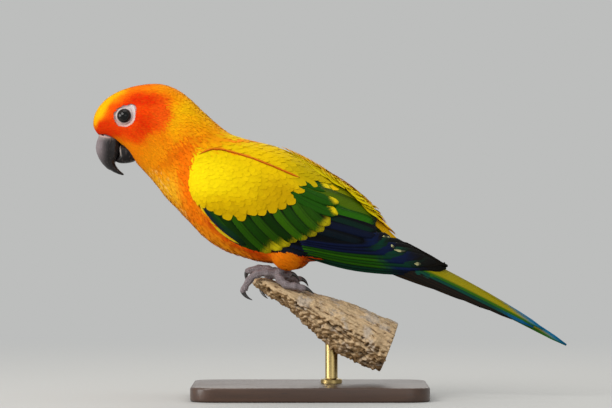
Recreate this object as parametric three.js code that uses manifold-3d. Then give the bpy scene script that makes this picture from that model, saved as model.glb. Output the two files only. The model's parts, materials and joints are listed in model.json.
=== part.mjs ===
// A life-size sun conure on a short cut length of weathered branch, held by a plain display stand.
// Units are millimetres, +Z is up, the bird faces -X and its left side faces -Y.
// The origin is the middle of the stand base's underside.
import * as THREE from "three";
import { mergeVertices } from "three/addons/utils/BufferGeometryUtils.js";
import Module from "manifold-3d";

const wasm = await Module();
wasm.setup();

// Driving dimensions
const gap = 0.3; // clearance between pieces that touch
const fineness = 0.1; // facets that matter less than this to the shape are merged
const eyeRadius = 4.8;
const eyeCentre = { x: -103.3, y: 10.6, z: 157.6 };
const base = { length: 132, width: 96, height: 8, corner: 14, edge: 1.2 };
const rod = { x: 12, radius: 3.5, foot: 6, top: 40 };
const toe = { rootRadius: 2.3, tipRadius: 1.75, knuckle: 0.28 };
const claw = { rootRadius: 1.35, tipRadius: 0.28 };

// Colours, as a plain finish for each kind of surface
const finish = (colour, roughness, metalness = 0) =>
  new THREE.MeshStandardMaterial({ color: colour, roughness, metalness });
const finishes = {
  faceRed: finish(0xe8480c, 0.85),
  neckOrange: finish(0xf39308, 0.85),
  breastOrange: finish(0xe8780a, 0.85),
  bellyOrange: finish(0xdc5a08, 0.85),
  backYellow: finish(0xf5cf08, 0.85),
  wingYellow: finish(0xf2d400, 0.8),
  wingGreen: finish(0x1f5a10, 0.7),
  wingBlue: finish(0x101c3c, 0.6),
  tailOlive: finish(0x7d8408, 0.65),
  horn: finish(0x2a2724, 0.4),
  eye: finish(0x15100c, 0.08),
  footSkin: finish(0x8d7a7c, 0.75),
  wood: finish(0xb89a72, 0.9),
  standWood: finish(0x2e2018, 0.45),
  standMetal: finish(0xb09a62, 0.3, 1),
};

// Solids and meshes

function solidOf(geometry) {
  const bare = geometry.index ? geometry.toNonIndexed() : geometry.clone();
  bare.deleteAttribute("normal");
  bare.deleteAttribute("uv");
  const merged = mergeVertices(bare, 1e-4);
  const vertProperties = merged.attributes.position.array;
  const triVerts = new Uint32Array(merged.index.array);
  const made = new wasm.Manifold(new wasm.Mesh({ numProp: 3, vertProperties, triVerts }));
  if (made.volume() > 0) return made;
  for (let i = 0; i < triVerts.length; i += 3) {
    [triVerts[i + 1], triVerts[i + 2]] = [triVerts[i + 2], triVerts[i + 1]];
  }
  return new wasm.Manifold(new wasm.Mesh({ numProp: 3, vertProperties, triVerts }));
}

function geometryOf(solid) {
  const { numProp, numVert, vertProperties, triVerts } = solid.getMesh();
  const positions = new Float32Array(numVert * 3);
  for (let i = 0; i < numVert; i++) {
    positions.set(vertProperties.subarray(i * numProp, i * numProp + 3), i * 3);
  }
  const geometry = new THREE.BufferGeometry();
  geometry.setAttribute("position", new THREE.BufferAttribute(positions, 3));
  geometry.setIndex(new THREE.BufferAttribute(triVerts, 1));
  geometry.computeVertexNormals();
  return geometry;
}

// Joins rings of points, each ring closed and of one length, into a surface with a pole at each end.
function loft(rings) {
  const size = rings[0].length;
  const middle = (ring) =>
    ring.reduce((sum, p) => sum.add(p), new THREE.Vector3()).divideScalar(size);
  const points = [...rings.flat(), middle(rings[0]), middle(rings.at(-1))];
  const firstPole = points.length - 2;
  const lastPole = points.length - 1;
  const index = [];
  for (let k = 0; k < size; k++) {
    const next = (k + 1) % size;
    index.push(firstPole, next, k);
    for (let r = 0; r + 1 < rings.length; r++) {
      const a = r * size;
      const b = a + size;
      index.push(a + k, a + next, b + k, a + next, b + next, b + k);
    }
    const last = (rings.length - 1) * size;
    index.push(lastPole, last + k, last + next);
  }
  const geometry = new THREE.BufferGeometry().setFromPoints(points);
  geometry.setIndex(index);
  return geometry;
}

// Reads stations {upper: [x, z], lower: [x, z], and numbers} at even steps along smooth curves.
function smoothStations(stations, steps, numbers) {
  const curveOf = (read) =>
    new THREE.CatmullRomCurve3(stations.map(read), false, "catmullrom", 0.5);
  const upper = curveOf((s) => new THREE.Vector3(s.upper[0], 0, s.upper[1]));
  const lower = curveOf((s) => new THREE.Vector3(s.lower[0], 0, s.lower[1]));
  const values = numbers.map((name) => curveOf((s) => new THREE.Vector3(s[name], 0, 0)));
  return Array.from({ length: steps + 1 }, (_, i) => {
    const t = i / steps;
    const read = Object.fromEntries(numbers.map((name, n) => [name, values[n].getPoint(t).x]));
    return { upper: upper.getPoint(t), lower: lower.getPoint(t), ...read };
  });
}

// A rounded ring across the body, from its upper point to its lower one.
function ovalRing({ upper, lower, halfWidth }, segments, power, grow) {
  const centre = upper.clone().add(lower).multiplyScalar(0.5);
  const half = upper.clone().sub(lower).multiplyScalar(0.5);
  half.setLength(half.length() + grow);
  const curve = (value) => Math.sign(value) * Math.abs(value) ** (2 / power);
  return Array.from({ length: segments }, (_, k) => {
    const angle = (2 * Math.PI * k) / segments;
    const point = centre.clone().addScaledVector(half, curve(Math.cos(angle)));
    point.y = (halfWidth + grow) * curve(Math.sin(angle));
    return point;
  });
}

// A thin curved ring for a wing or tail: it runs down the outside from the upper edge and back up inside.
function shellRing(station, side, segments, grow) {
  const { upper, lower, upperOut, out, lowerOut, thick } = station;
  const along = upper.clone().sub(lower).setLength(grow);
  const bulge = out - (upperOut + lowerOut) / 2;
  const edgeShare = 0.35;
  const ring = [];
  const add = (u, inside) => {
    const swell = Math.sin(Math.PI * u);
    const point = upper.clone().add(along).lerp(lower.clone().sub(along), u);
    const outer = upperOut + (lowerOut - upperOut) * u + bulge * Math.max(swell, 0) ** 0.8;
    const depth = thick * (edgeShare + (1 - edgeShare) * swell);
    point.y = side * (inside ? outer - depth - grow : outer + grow);
    ring.push(point);
  };
  for (let k = 0; k <= segments; k++) add(k / segments, false);
  for (let k = segments; k >= 0; k--) add(k / segments, true);
  return ring;
}

// A round tube along points, with its radius given by a function of the share of its length.
function tube(points, radiusAt, rings, segments, grow) {
  const curve = new THREE.CatmullRomCurve3(points.map((p) => new THREE.Vector3(...p)));
  const first = curve.getTangent(0).multiplyScalar(grow);
  const last = curve.getTangent(1).multiplyScalar(grow);
  const made = Array.from({ length: rings + 1 }, (_, i) => {
    const t = i / rings;
    const centre = curve.getPointAt(t);
    if (i === 0) centre.sub(first);
    if (i === rings) centre.add(last);
    const ahead = curve.getTangentAt(t);
    const across = new THREE.Vector3(0, 1, 0).cross(ahead).normalize();
    const up = ahead.clone().cross(across);
    return Array.from({ length: segments }, (_, k) => {
      const angle = (2 * Math.PI * k) / segments;
      const offset = across.clone().multiplyScalar(Math.cos(angle));
      return centre.clone().addScaledVector(offset.addScaledVector(up, Math.sin(angle)), radiusAt(t) + grow);
    });
  });
  return solidOf(loft(made));
}

function ball(centre, radii, detail, grow) {
  const sphere = new THREE.SphereGeometry(1, detail, Math.round(detail * 0.6));
  sphere.scale(radii[0] + grow, radii[1] + grow, radii[2] + grow);
  sphere.translate(...centre);
  return solidOf(sphere);
}

// The body: forehead, crown, nape, back and rump above, and chin, breast and belly below

const bodyStations = [
  { upper: [-120.2, 149.6], lower: [-118.6, 147.4], halfWidth: 1.6 },
  { upper: [-121.6, 152.6], lower: [-116.9, 146.0], halfWidth: 5.0 },
  { upper: [-120.4, 159.6], lower: [-111.2, 144.4], halfWidth: 9.4 },
  { upper: [-115.4, 166.5], lower: [-105.2, 141.4], halfWidth: 12.6 },
  { upper: [-108.1, 171.4], lower: [-101.2, 137.0], halfWidth: 14.8 },
  { upper: [-99.7, 174.4], lower: [-97.4, 131.6], halfWidth: 16.2 },
  { upper: [-91.8, 175.8], lower: [-93.0, 127.0], halfWidth: 16.8 },
  { upper: [-84.0, 176.1], lower: [-88.4, 122.0], halfWidth: 16.8 },
  { upper: [-76.2, 173.9], lower: [-84.0, 116.4], halfWidth: 16.9 },
  { upper: [-68.9, 169.2], lower: [-79.8, 111.2], halfWidth: 17.6 },
  { upper: [-61.6, 162.2], lower: [-74.6, 106.0], halfWidth: 19.2 },
  { upper: [-52.6, 153.8], lower: [-68.0, 99.2], halfWidth: 21.6 },
  { upper: [-42.6, 146.8], lower: [-60.0, 90.6], halfWidth: 23.8 },
  { upper: [-30.2, 143.6], lower: [-49.3, 83.2], halfWidth: 25.0 },
  { upper: [-16.8, 140.0], lower: [-36.0, 78.4], halfWidth: 25.0 },
  { upper: [-3.9, 133.6], lower: [-23.5, 75.4], halfWidth: 23.6 },
  { upper: [8.4, 125.6], lower: [-10.1, 75.2], halfWidth: 21.0 },
  { upper: [22.4, 115.6], lower: [4.5, 76.8], halfWidth: 17.0 },
  { upper: [35.2, 104.6], lower: [19.6, 76.2], halfWidth: 12.6 },
  { upper: [45.4, 94.2], lower: [34.7, 75.0], halfWidth: 8.8 },
  { upper: [52.6, 85.2], lower: [47.6, 74.0], halfWidth: 4.6 },
];
const bodyCuts = { neck: 8, breast: 10, belly: 13, rump: 16 }; // the station behind which each part starts

function body(grow = 0) {
  const rings = smoothStations(bodyStations, 32, ["halfWidth"]);
  return solidOf(loft(rings.map((s) => ovalRing(s, 22, 2.25, grow))));
}

// A plane across the body at a station, as its normal, pointing back, and its distance from the origin.
function planeAt(station) {
  const { upper, lower } = bodyStations[station];
  const normal = new THREE.Vector3(upper[1] - lower[1], 0, lower[0] - upper[0]).normalize();
  return { normal, offset: normal.dot(new THREE.Vector3(upper[0], 0, upper[1])) };
}

// The part of the body between two stations; either may be left out.
function bodyBetween(front, rear, grow = 0) {
  let solid = body(grow);
  if (front !== undefined) {
    const { normal, offset } = planeAt(front);
    solid = solid.trimByPlane(normal.toArray(), offset + gap / 2 - grow);
  }
  if (rear !== undefined) {
    const { normal, offset } = planeAt(rear);
    solid = solid.trimByPlane(normal.clone().negate().toArray(), -offset + gap / 2 - grow);
  }
  return solid;
}

function eye(side, grow = 0) {
  const centre = [eyeCentre.x, side * eyeCentre.y, eyeCentre.z];
  return ball(centre, [eyeRadius, eyeRadius, eyeRadius], 12, grow);
}

// The shallow dish of bare skin round an eye, which is taken off the head.
function eyeDish(side) {
  const dish = { out: 17.6, wide: 6.4, deep: 4.2 };
  const centre = [eyeCentre.x, side * dish.out, eyeCentre.z];
  return ball(centre, [dish.wide, dish.deep, dish.wide], 12, 0);
}

// The bill: upper is the outer curve of each half and lower the edge that meets the other half

const upperBill = [
  { upper: [-115.6, 150.6], lower: [-104.6, 147.0], halfWidth: 5.4 },
  { upper: [-118.2, 145.4], lower: [-105.8, 142.8], halfWidth: 6.3 },
  { upper: [-119.4, 140.6], lower: [-106.2, 137.8], halfWidth: 6.3 },
  { upper: [-118.6, 136.4], lower: [-107.6, 133.8], halfWidth: 5.5 },
  { upper: [-116.3, 132.0], lower: [-109.4, 132.0], halfWidth: 4.2 },
  { upper: [-112.6, 128.2], lower: [-108.5, 129.6], halfWidth: 2.8 },
  { upper: [-108.1, 125.8], lower: [-106.6, 127.2], halfWidth: 1.5 },
  { upper: [-104.6, 124.7], lower: [-104.2, 125.3], halfWidth: 0.4 },
];
const lowerBill = [
  { upper: [-100.6, 143.4], lower: [-94.4, 135.4], halfWidth: 5.6 },
  { upper: [-103.8, 142.4], lower: [-98.4, 132.6], halfWidth: 5.9 },
  { upper: [-105.4, 138.9], lower: [-102.5, 131.6], halfWidth: 5.6 },
  { upper: [-106.6, 135.6], lower: [-106.2, 131.6], halfWidth: 4.6 },
  { upper: [-108.7, 133.4], lower: [-108.6, 132.4], halfWidth: 1.8 },
];

function billHalf(stations, grow = 0) {
  const rings = smoothStations(stations, 10, ["halfWidth"]);
  return solidOf(loft(rings.map((s) => ovalRing(s, 12, 2.2, grow))));
}

// Wings, folded: upper and lower are the edges in side view, and the "out" values are distances from the middle plane

const wingStations = [
  { upper: [-66.2, 123.4], lower: [-66.2, 117.2], upperOut: 20.4, out: 21.2, lowerOut: 20.4, thick: 4 },
  { upper: [-64.2, 130.6], lower: [-63.8, 108.8], upperOut: 19.4, out: 24.2, lowerOut: 20.6, thick: 10 },
  { upper: [-59.2, 137.0], lower: [-57.9, 98.8], upperOut: 16.6, out: 27.0, lowerOut: 20.0, thick: 15 },
  { upper: [-50.4, 140.4], lower: [-47.0, 90.4], upperOut: 13.6, out: 28.8, lowerOut: 18.0, thick: 18 },
  { upper: [-35.8, 140.0], lower: [-33.4, 83.8], upperOut: 10.8, out: 29.6, lowerOut: 15.6, thick: 19 },
  { upper: [-19.6, 137.8], lower: [-18.5, 81.2], upperOut: 8.6, out: 29.2, lowerOut: 15.2, thick: 19 },
  { upper: [-3.9, 132.4], lower: [-3.9, 79.2], upperOut: 6.6, out: 27.4, lowerOut: 15.0, thick: 18 },
  { upper: [11.2, 123.4], lower: [10.1, 76.8], upperOut: 5.0, out: 24.4, lowerOut: 13.8, thick: 15 },
  { upper: [25.2, 113.6], lower: [23.5, 75.0], upperOut: 3.8, out: 20.2, lowerOut: 12.0, thick: 10 },
  { upper: [37.5, 103.0], lower: [36.4, 73.4], upperOut: 3.0, out: 15.8, lowerOut: 10.2, thick: 5 },
  { upper: [49.3, 90.4], lower: [48.7, 72.2], upperOut: 2.4, out: 11.6, lowerOut: 8.8, thick: 3.4 },
  { upper: [61.6, 83.6], lower: [60.5, 71.8], upperOut: 2.0, out: 8.0, lowerOut: 7.0, thick: 2.6 },
  { upper: [71.1, 78.6], lower: [70.6, 72.2], upperOut: 2.0, out: 5.4, lowerOut: 5.2, thick: 2.0 },
  { upper: [76.7, 74.2], lower: [76.5, 72.8], upperOut: 2.4, out: 3.6, lowerOut: 3.8, thick: 1.6 },
];
const wingCuts = { secondaries: [-30, -32], primaries: [26, -24] }; // where each cut meets the lower edge, and its slope

function wing(side, grow = 0) {
  const names = ["upperOut", "out", "lowerOut", "thick"];
  const rings = smoothStations(wingStations, 18, names);
  return solidOf(loft(rings.map((s) => shellRing(s, side, 6, grow))));
}

// The part of a wing between two slanting cuts; either may be left out.
function wingBetween(side, front, rear, grow = 0) {
  const lowerEdge = 78;
  const planeOf = ([x, degrees]) => {
    const slope = THREE.MathUtils.degToRad(degrees);
    const normal = new THREE.Vector3(Math.cos(slope), 0, Math.sin(slope));
    return { normal, offset: normal.dot(new THREE.Vector3(x, 0, lowerEdge)) };
  };
  let solid = wing(side, grow);
  if (front) {
    const { normal, offset } = planeOf(front);
    solid = solid.trimByPlane(normal.toArray(), offset + gap / 2 - grow);
  }
  if (rear) {
    const { normal, offset } = planeOf(rear);
    solid = solid.trimByPlane(normal.clone().negate().toArray(), -offset + gap / 2 - grow);
  }
  return solid;
}

// Tail: two halves that lean on each other like a roof; the right one ends in the longest feather

const tailStations = [
  { upper: [40.0, 87.4], lower: [40.0, 76.0], upperOut: 0.2, out: 6.4, lowerOut: 8.4, thick: 2.6 },
  { upper: [56.0, 81.6], lower: [56.0, 69.6], upperOut: 0.2, out: 6.8, lowerOut: 9.2, thick: 2.6 },
  { upper: [72.8, 74.6], lower: [70.6, 61.0], upperOut: 0.2, out: 6.4, lowerOut: 8.8, thick: 2.4 },
  { upper: [89.6, 64.2], lower: [86.8, 53.6], upperOut: 0.2, out: 5.2, lowerOut: 7.4, thick: 2.2 },
  { upper: [106.4, 53.8], lower: [102.4, 48.2], upperOut: 0.2, out: 3.8, lowerOut: 5.6, thick: 1.9 },
  { upper: [120.4, 45.0], lower: [118.2, 41.8], upperOut: 0.2, out: 2.6, lowerOut: 3.8, thick: 1.6 },
];
const tailEnds = {
  [-1]: [{ upper: [131.2, 38.3], lower: [130.8, 37.5], upperOut: 0.2, out: 1.5, lowerOut: 1.9, thick: 1.2 }],
  [1]: [
    { upper: [131.6, 37.9], lower: [130.6, 35.6], upperOut: 0.2, out: 1.8, lowerOut: 2.6, thick: 1.4 },
    { upper: [144.6, 29.2], lower: [144.3, 28.6], upperOut: 0.2, out: 1.0, lowerOut: 1.2, thick: 0.9 },
  ],
};

function tailHalf(side, grow = 0) {
  const names = ["upperOut", "out", "lowerOut", "thick"];
  const rings = smoothStations([...tailStations, ...tailEnds[side]], 12, names);
  return solidOf(loft(rings.map((s) => shellRing(s, side, 4, grow))));
}

// Legs and feet. Each foot has two toes in front and two behind; a claw follows on from each toe's last point

const feet = {
  left: {
    joint: [-18.6, -9.5, 69.6],
    heel: [-12.6, -12, 78],
    thigh: { centre: [-12.4, -13.2, 81.2], radii: [10.2, 7.6, 10.4] },
    toes: {
      front_outer: {
        path: [[-18.6, -9.8, 69.6], [-25.0, -11.6, 70.4], [-31.0, -12.6, 69.0], [-34.8, -13.0, 64.8], [-36.6, -13.0, 61.2]],
        claw: [[-36.7, -13.0, 60.8], [-36.6, -12.9, 58.2], [-34.6, -12.8, 56.0], [-32.0, -12.6, 55.4]],
      },
      front_inner: {
        path: [[-18.6, -9.2, 70.0], [-24.6, -6.8, 72.4], [-30.2, -4.8, 72.4], [-33.8, -3.8, 71.2]],
        claw: [[-34.2, -3.7, 70.8], [-35.8, -3.6, 69.4], [-36.0, -3.6, 67.0], [-34.8, -3.6, 64.8]],
      },
      back_outer: {
        path: [[-18.6, -10.0, 69.6], [-16.4, -13.2, 66.2], [-12.8, -14.8, 63.4], [-8.2, -14.8, 63.0], [-4.2, -14.4, 61.8]],
        claw: [[-3.8, -14.4, 61.6], [-1.6, -14.3, 61.4], [0.6, -14.1, 60.2], [2.0, -13.8, 58.4]],
      },
      back_inner: {
        path: [[-18.6, -9.2, 69.8], [-15.6, -6.4, 69.2], [-11.8, -4.8, 68.4]],
        claw: [[-11.4, -4.7, 68.4], [-8.8, -4.5, 69.6], [-6.6, -4.4, 68.2], [-6.2, -4.4, 65.4]],
      },
    },
  },
  right: {
    joint: [-14.6, 9.5, 69.2],
    heel: [-9.6, 12, 78],
    thigh: { centre: [-8.8, 13.2, 81.4], radii: [10.2, 7.6, 10.2] },
    toes: {
      front_outer: {
        path: [[-14.6, 9.8, 69.2], [-19.6, 13.4, 68.8], [-24.2, 16.2, 66.0], [-26.8, 16.6, 61.8]],
        claw: [[-26.9, 16.5, 61.4], [-27.2, 15.8, 58.8], [-25.8, 14.4, 56.6], [-23.6, 12.8, 55.6]],
      },
      front_inner: {
        path: [[-14.6, 9.2, 69.6], [-20.2, 7.4, 70.8], [-25.8, 5.8, 70.8], [-30.4, 4.8, 69.4]],
        claw: [[-30.8, 4.7, 69.2], [-33.0, 4.5, 68.2], [-34.2, 4.4, 65.8], [-33.6, 4.4, 63.4]],
      },
      back_outer: {
        path: [[-14.6, 10.0, 69.2], [-11.4, 13.8, 66.4], [-7.6, 16.0, 63.2], [-5.4, 17.6, 59.2]],
        claw: [[-5.3, 17.7, 58.8], [-4.8, 18.2, 56.0], [-5.8, 18.0, 53.2], [-7.6, 17.2, 51.6]],
      },
      back_inner: {
        path: [[-14.6, 9.2, 69.2], [-10.6, 7.2, 67.4], [-6.4, 6.2, 66.0]],
        claw: [[-6.0, 6.1, 66.0], [-3.8, 5.9, 66.2], [-1.8, 5.8, 64.8], [-1.2, 5.8, 62.2]],
      },
    },
  },
};

function footPad(side, grow = 0) {
  return ball(feet[side].joint, [3.2, 3.0, 2.7], 8, grow);
}

function tarsus(side, grow = 0) {
  const { joint, heel } = feet[side];
  const bend = [(joint[0] + heel[0]) / 2 + 0.8, (joint[1] + heel[1]) / 2, (joint[2] + heel[2]) / 2];
  return tube([joint, bend, heel], (t) => 2.5 - 0.5 * Math.sin(Math.PI * t), 3, 8, grow);
}

function thigh(side, grow = 0) {
  const { centre, radii } = feet[side].thigh;
  return ball(centre, radii, 12, grow);
}

// A toe swells a little at each joint.
function toeTube(side, name, grow = 0) {
  const { path } = feet[side].toes[name];
  const bones = path.length - 1;
  const radiusAt = (t) =>
    toe.rootRadius + (toe.tipRadius - toe.rootRadius) * t + toe.knuckle * Math.cos(2 * Math.PI * bones * t);
  return tube(path, radiusAt, bones * 2, 6, grow);
}

function clawTube(side, name, grow = 0) {
  const radiusAt = (t) => claw.tipRadius + (claw.rootRadius - claw.tipRadius) * (1 - t * t);
  return tube(feet[side].toes[name].claw, radiusAt, 5, 6, grow);
}

// The perch: a weathered branch that tapers to a worn tip at the bird's toes and is sawn off at its thick end

const perchStations = [
  { upper: [-31.6, 66.2], lower: [-31.4, 64.4], halfWidth: 4.0 },
  { upper: [-30.4, 67.2], lower: [-29.8, 62.6], halfWidth: 9.6 },
  { upper: [-26.4, 67.4], lower: [-26.4, 60.2], halfWidth: 13.4 },
  { upper: [-19.6, 65.6], lower: [-21.0, 56.4], halfWidth: 15.6 },
  { upper: [-11.2, 62.6], lower: [-13.6, 52.6], halfWidth: 16.6 },
  { upper: [-1.2, 59.6], lower: [-5.8, 44.8], halfWidth: 17.6 },
  { upper: [10.0, 56.6], lower: [3.4, 35.4], halfWidth: 18.4 },
  { upper: [23.6, 52.2], lower: [14.6, 27.2], halfWidth: 18.8 },
  { upper: [37.0, 47.0], lower: [27.0, 20.4], halfWidth: 18.8 },
  { upper: [49.4, 42.0], lower: [39.4, 15.8], halfWidth: 18.4 },
];

// Long ridges and hollows run along the wood, as a share of its radius.
function grainRipple(angle, t) {
  const ridges = 0.05 * Math.sin(5 * angle + 4 * t) + 0.035 * Math.sin(9 * angle - 7 * t + 1);
  const lumps = 0.04 * Math.sin(11 * t + 2 * angle) * Math.sin(3 * angle + 0.5);
  return 1 + (ridges + lumps) * Math.min(1, 4 * t);
}

function perch() {
  const segments = 20;
  const rings = smoothStations(perchStations, 16, ["halfWidth"]).map((s, i, all) => {
    const centre = s.upper.clone().add(s.lower).multiplyScalar(0.5);
    const t = i / (all.length - 1);
    return ovalRing(s, segments, 2.6, 0).map((point, k) => {
      const angle = (2 * Math.PI * k) / segments;
      const underside = Math.cos(angle) < 0.3 ? 1 : 0.25; // the worn upper face is smoother
      const ripple = 1 + (grainRipple(angle, t) - 1) * underside;
      return point.sub(centre).multiplyScalar(ripple).add(centre);
    });
  });
  return solidOf(loft(rings));
}

// The stand

function standBase() {
  const halfLength = base.length / 2 - base.edge;
  const halfWidth = base.width / 2 - base.edge;
  const outline = new THREE.Shape();
  const inner = base.corner;
  outline.moveTo(-halfLength + inner, -halfWidth);
  outline.lineTo(halfLength - inner, -halfWidth);
  outline.absarc(halfLength - inner, -halfWidth + inner, inner, -Math.PI / 2, 0);
  outline.absarc(halfLength - inner, halfWidth - inner, inner, 0, Math.PI / 2);
  outline.absarc(-halfLength + inner, halfWidth - inner, inner, Math.PI / 2, Math.PI);
  outline.absarc(-halfLength + inner, -halfWidth + inner, inner, Math.PI, 1.5 * Math.PI);
  const plate = new THREE.ExtrudeGeometry(outline, {
    depth: base.height - 2 * base.edge,
    bevelThickness: base.edge,
    bevelSize: base.edge,
    bevelSegments: 1,
    curveSegments: 4,
  });
  plate.translate(0, 0, base.edge);
  return solidOf(plate);
}

function standRod(grow = 0) {
  const flange = 2.5;
  const floor = base.height + gap - grow;
  const profile = [
    [0, floor],
    [rod.foot + grow, floor],
    [rod.foot + grow, floor + flange - 0.8 + grow],
    [rod.foot - 0.8 + grow, floor + flange + grow],
    [rod.radius + grow, floor + flange + grow],
    [rod.radius + grow, rod.top + grow],
    [0, rod.top + grow],
  ];
  const lathe = new THREE.LatheGeometry(profile.map(([r, z]) => new THREE.Vector2(r, z)), 16);
  lathe.rotateX(Math.PI / 2);
  lathe.translate(rod.x, 0, 0);
  return solidOf(lathe);
}

// Assembly: each piece is cut back from those placed before it, which leaves a thin gap between them

const group = new THREE.Group();
const placed = [];

function biggest(solid) {
  return solid.decompose().sort((a, b) => b.volume() - a.volume())[0];
}

function place(name, make, material, cutBy = placed) {
  let solid = make(0);
  for (const other of cutBy) solid = solid.subtract(other.cutter());
  const mesh = new THREE.Mesh(geometryOf(biggest(solid).simplify(fineness)), material);
  mesh.name = name;
  group.add(mesh);
  let grown;
  placed.push({ name, cutter: () => (grown ??= make(gap)) });
}

const sides = { left: -1, right: 1 };
const toeNames = ["front_outer", "front_inner", "back_outer", "back_inner"];

const placedAs = (...starts) => placed.filter(({ name }) => starts.some((start) => name.startsWith(start)));

place("stand_base", standBase, finishes.standWood);
place("stand_rod", standRod, finishes.standMetal, []);
for (const [side, sign] of Object.entries(sides)) {
  place(`eye_${side}`, (grow) => eye(sign, grow), finishes.eye, []);
}
place("bill_upper", (grow) => billHalf(upperBill, grow), finishes.horn, []);
place("bill_lower", (grow) => billHalf(lowerBill, grow), finishes.horn, placedAs("bill_upper"));
for (const side of Object.keys(sides)) {
  const near = placed.length;
  place(`foot_${side}`, (grow) => footPad(side, grow), finishes.footSkin, []);
  for (const name of toeNames) {
    place(`claw_${side}_${name}`, (grow) => clawTube(side, name, grow), finishes.horn, []);
  }
  for (const name of toeNames) {
    place(`toe_${side}_${name}`, (grow) => toeTube(side, name, grow), finishes.footSkin, placed.slice(near));
  }
  place(`leg_${side}`, (grow) => tarsus(side, grow), finishes.footSkin, placed.slice(near));
}

const dished = (solid) => solid.subtract(eyeDish(-1)).subtract(eyeDish(1));
const { neck, breast, belly, rump } = bodyCuts;
place("head", (grow) => dished(bodyBetween(undefined, neck, grow)), finishes.faceRed, placedAs("eye", "bill"));
place("neck", (grow) => bodyBetween(neck, breast, grow), finishes.neckOrange, []);
place("breast", (grow) => bodyBetween(breast, belly, grow), finishes.breastOrange, []);
place("belly", (grow) => bodyBetween(belly, rump, grow), finishes.bellyOrange, placedAs("leg", "toe", "claw"));
place("rump", (grow) => bodyBetween(rump, undefined, grow), finishes.backYellow, placedAs("leg", "claw"));
const trunk = placedAs("head", "neck", "breast", "belly", "rump");
for (const [side, sign] of Object.entries(sides)) {
  const { secondaries, primaries } = wingCuts;
  place(`wing_${side}_shoulder`, (grow) => wingBetween(sign, null, secondaries, grow), finishes.wingYellow, trunk);
  place(`wing_${side}_secondaries`, (grow) => wingBetween(sign, secondaries, primaries, grow), finishes.wingGreen, trunk);
  place(`wing_${side}_primaries`, (grow) => wingBetween(sign, primaries, null, grow), finishes.wingBlue, trunk);
  place(`thigh_${side}`, (grow) => thigh(side, grow), finishes.bellyOrange, [
    ...trunk,
    ...placedAs("leg", "toe", "foot", "claw", `wing_${side}`),
  ]);
}
for (const [side, sign] of Object.entries(sides)) {
  place(`tail_${side}`, (grow) => tailHalf(sign, grow), finishes.tailOlive, placedAs("belly", "rump", "wing", "tail"));
}
place("perch", perch, finishes.wood, placedAs("stand_rod", "foot", "toe", "claw", "leg"));

export default group;
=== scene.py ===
import json
import math
import random
import warnings
from contextlib import contextmanager

import bpy
import bmesh
import numpy as np
from mathutils import Matrix, Vector, noise
from mathutils.bvhtree import BVHTree

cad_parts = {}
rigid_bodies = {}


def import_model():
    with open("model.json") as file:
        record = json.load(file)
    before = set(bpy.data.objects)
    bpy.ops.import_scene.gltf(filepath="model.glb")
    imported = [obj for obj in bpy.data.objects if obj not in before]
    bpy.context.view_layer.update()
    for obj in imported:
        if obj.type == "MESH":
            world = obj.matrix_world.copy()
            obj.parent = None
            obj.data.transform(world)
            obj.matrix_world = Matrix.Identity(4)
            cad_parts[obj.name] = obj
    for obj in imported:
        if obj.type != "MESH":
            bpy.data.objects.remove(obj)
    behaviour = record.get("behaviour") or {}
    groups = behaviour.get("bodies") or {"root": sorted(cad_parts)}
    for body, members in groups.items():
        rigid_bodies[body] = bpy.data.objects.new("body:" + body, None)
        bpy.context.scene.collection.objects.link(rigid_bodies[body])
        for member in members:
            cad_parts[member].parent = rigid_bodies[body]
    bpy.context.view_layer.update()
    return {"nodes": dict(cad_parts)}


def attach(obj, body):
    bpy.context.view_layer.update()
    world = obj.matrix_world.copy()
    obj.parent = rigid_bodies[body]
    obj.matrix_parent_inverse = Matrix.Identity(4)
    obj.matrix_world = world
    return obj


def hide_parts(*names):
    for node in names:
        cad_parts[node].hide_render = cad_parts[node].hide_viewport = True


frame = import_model()
nodes = frame["nodes"]
mm = 0.001
scene = bpy.context.scene
scene.view_settings.view_transform = "Standard"
bpy.ops.object.select_all(action="DESELECT")
dice = np.random.default_rng(7)
noise.seed_set(7)


def linear(code):  # a web colour as linear light
    parts = [int(code[i : i + 2], 16) / 255 for i in (0, 2, 4)]
    return tuple(p / 12.92 if p <= 0.04045 else ((p + 0.055) / 1.055) ** 2.4 for p in parts)


def ease(low, high, value):
    t = np.clip((value - low) / (high - low), 0, 1)
    return t * t * (3 - 2 * t)


def unit(rows):  # each row at length one
    return rows / np.linalg.norm(rows, axis=1, keepdims=True)


def inSpace(flat):  # places or directions in side view as ones in space
    return np.stack([flat[:, 0], np.zeros(len(flat)), flat[:, 1]], 1)


def wobble(points, size, seed=0.0):  # smooth noise about nought, for points in mm
    shift = Vector((seed * 13.7, seed * 7.1, seed * 3.3))
    return np.array([noise.noise(Vector(p) / size + shift) for p in points])


def makeObject(name, points, faces, material, smooth=True):
    mesh = bpy.data.meshes.new(name)
    points = np.asarray(points, np.float32) * mm
    faces = np.asarray(faces, np.int32)
    sides = faces.shape[1]
    mesh.vertices.add(len(points))
    mesh.vertices.foreach_set("co", points.ravel())
    mesh.loops.add(faces.size)
    mesh.loops.foreach_set("vertex_index", faces.ravel())
    mesh.polygons.add(len(faces))
    mesh.polygons.foreach_set("loop_start", np.arange(0, faces.size, sides, dtype=np.int32))
    mesh.polygons.foreach_set("use_smooth", np.full(len(faces), smooth))
    mesh.update(calc_edges=True)
    made = bpy.data.objects.new(name, mesh)
    scene.collection.objects.link(made)
    if material:
        mesh.materials.append(material)
    return made


def addColour(mesh, name, values):  # one colour for each vertex
    layer = mesh.color_attributes.new(name, "FLOAT_COLOR", "POINT")
    full = np.ones((len(values), 4), np.float32)
    full[:, :3] = values
    layer.data.foreach_set("color", full.ravel())


def addNumber(mesh, name, values):
    layer = mesh.attributes.new(name, "FLOAT", "POINT")
    layer.data.foreach_set("value", np.asarray(values, np.float32))


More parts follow.
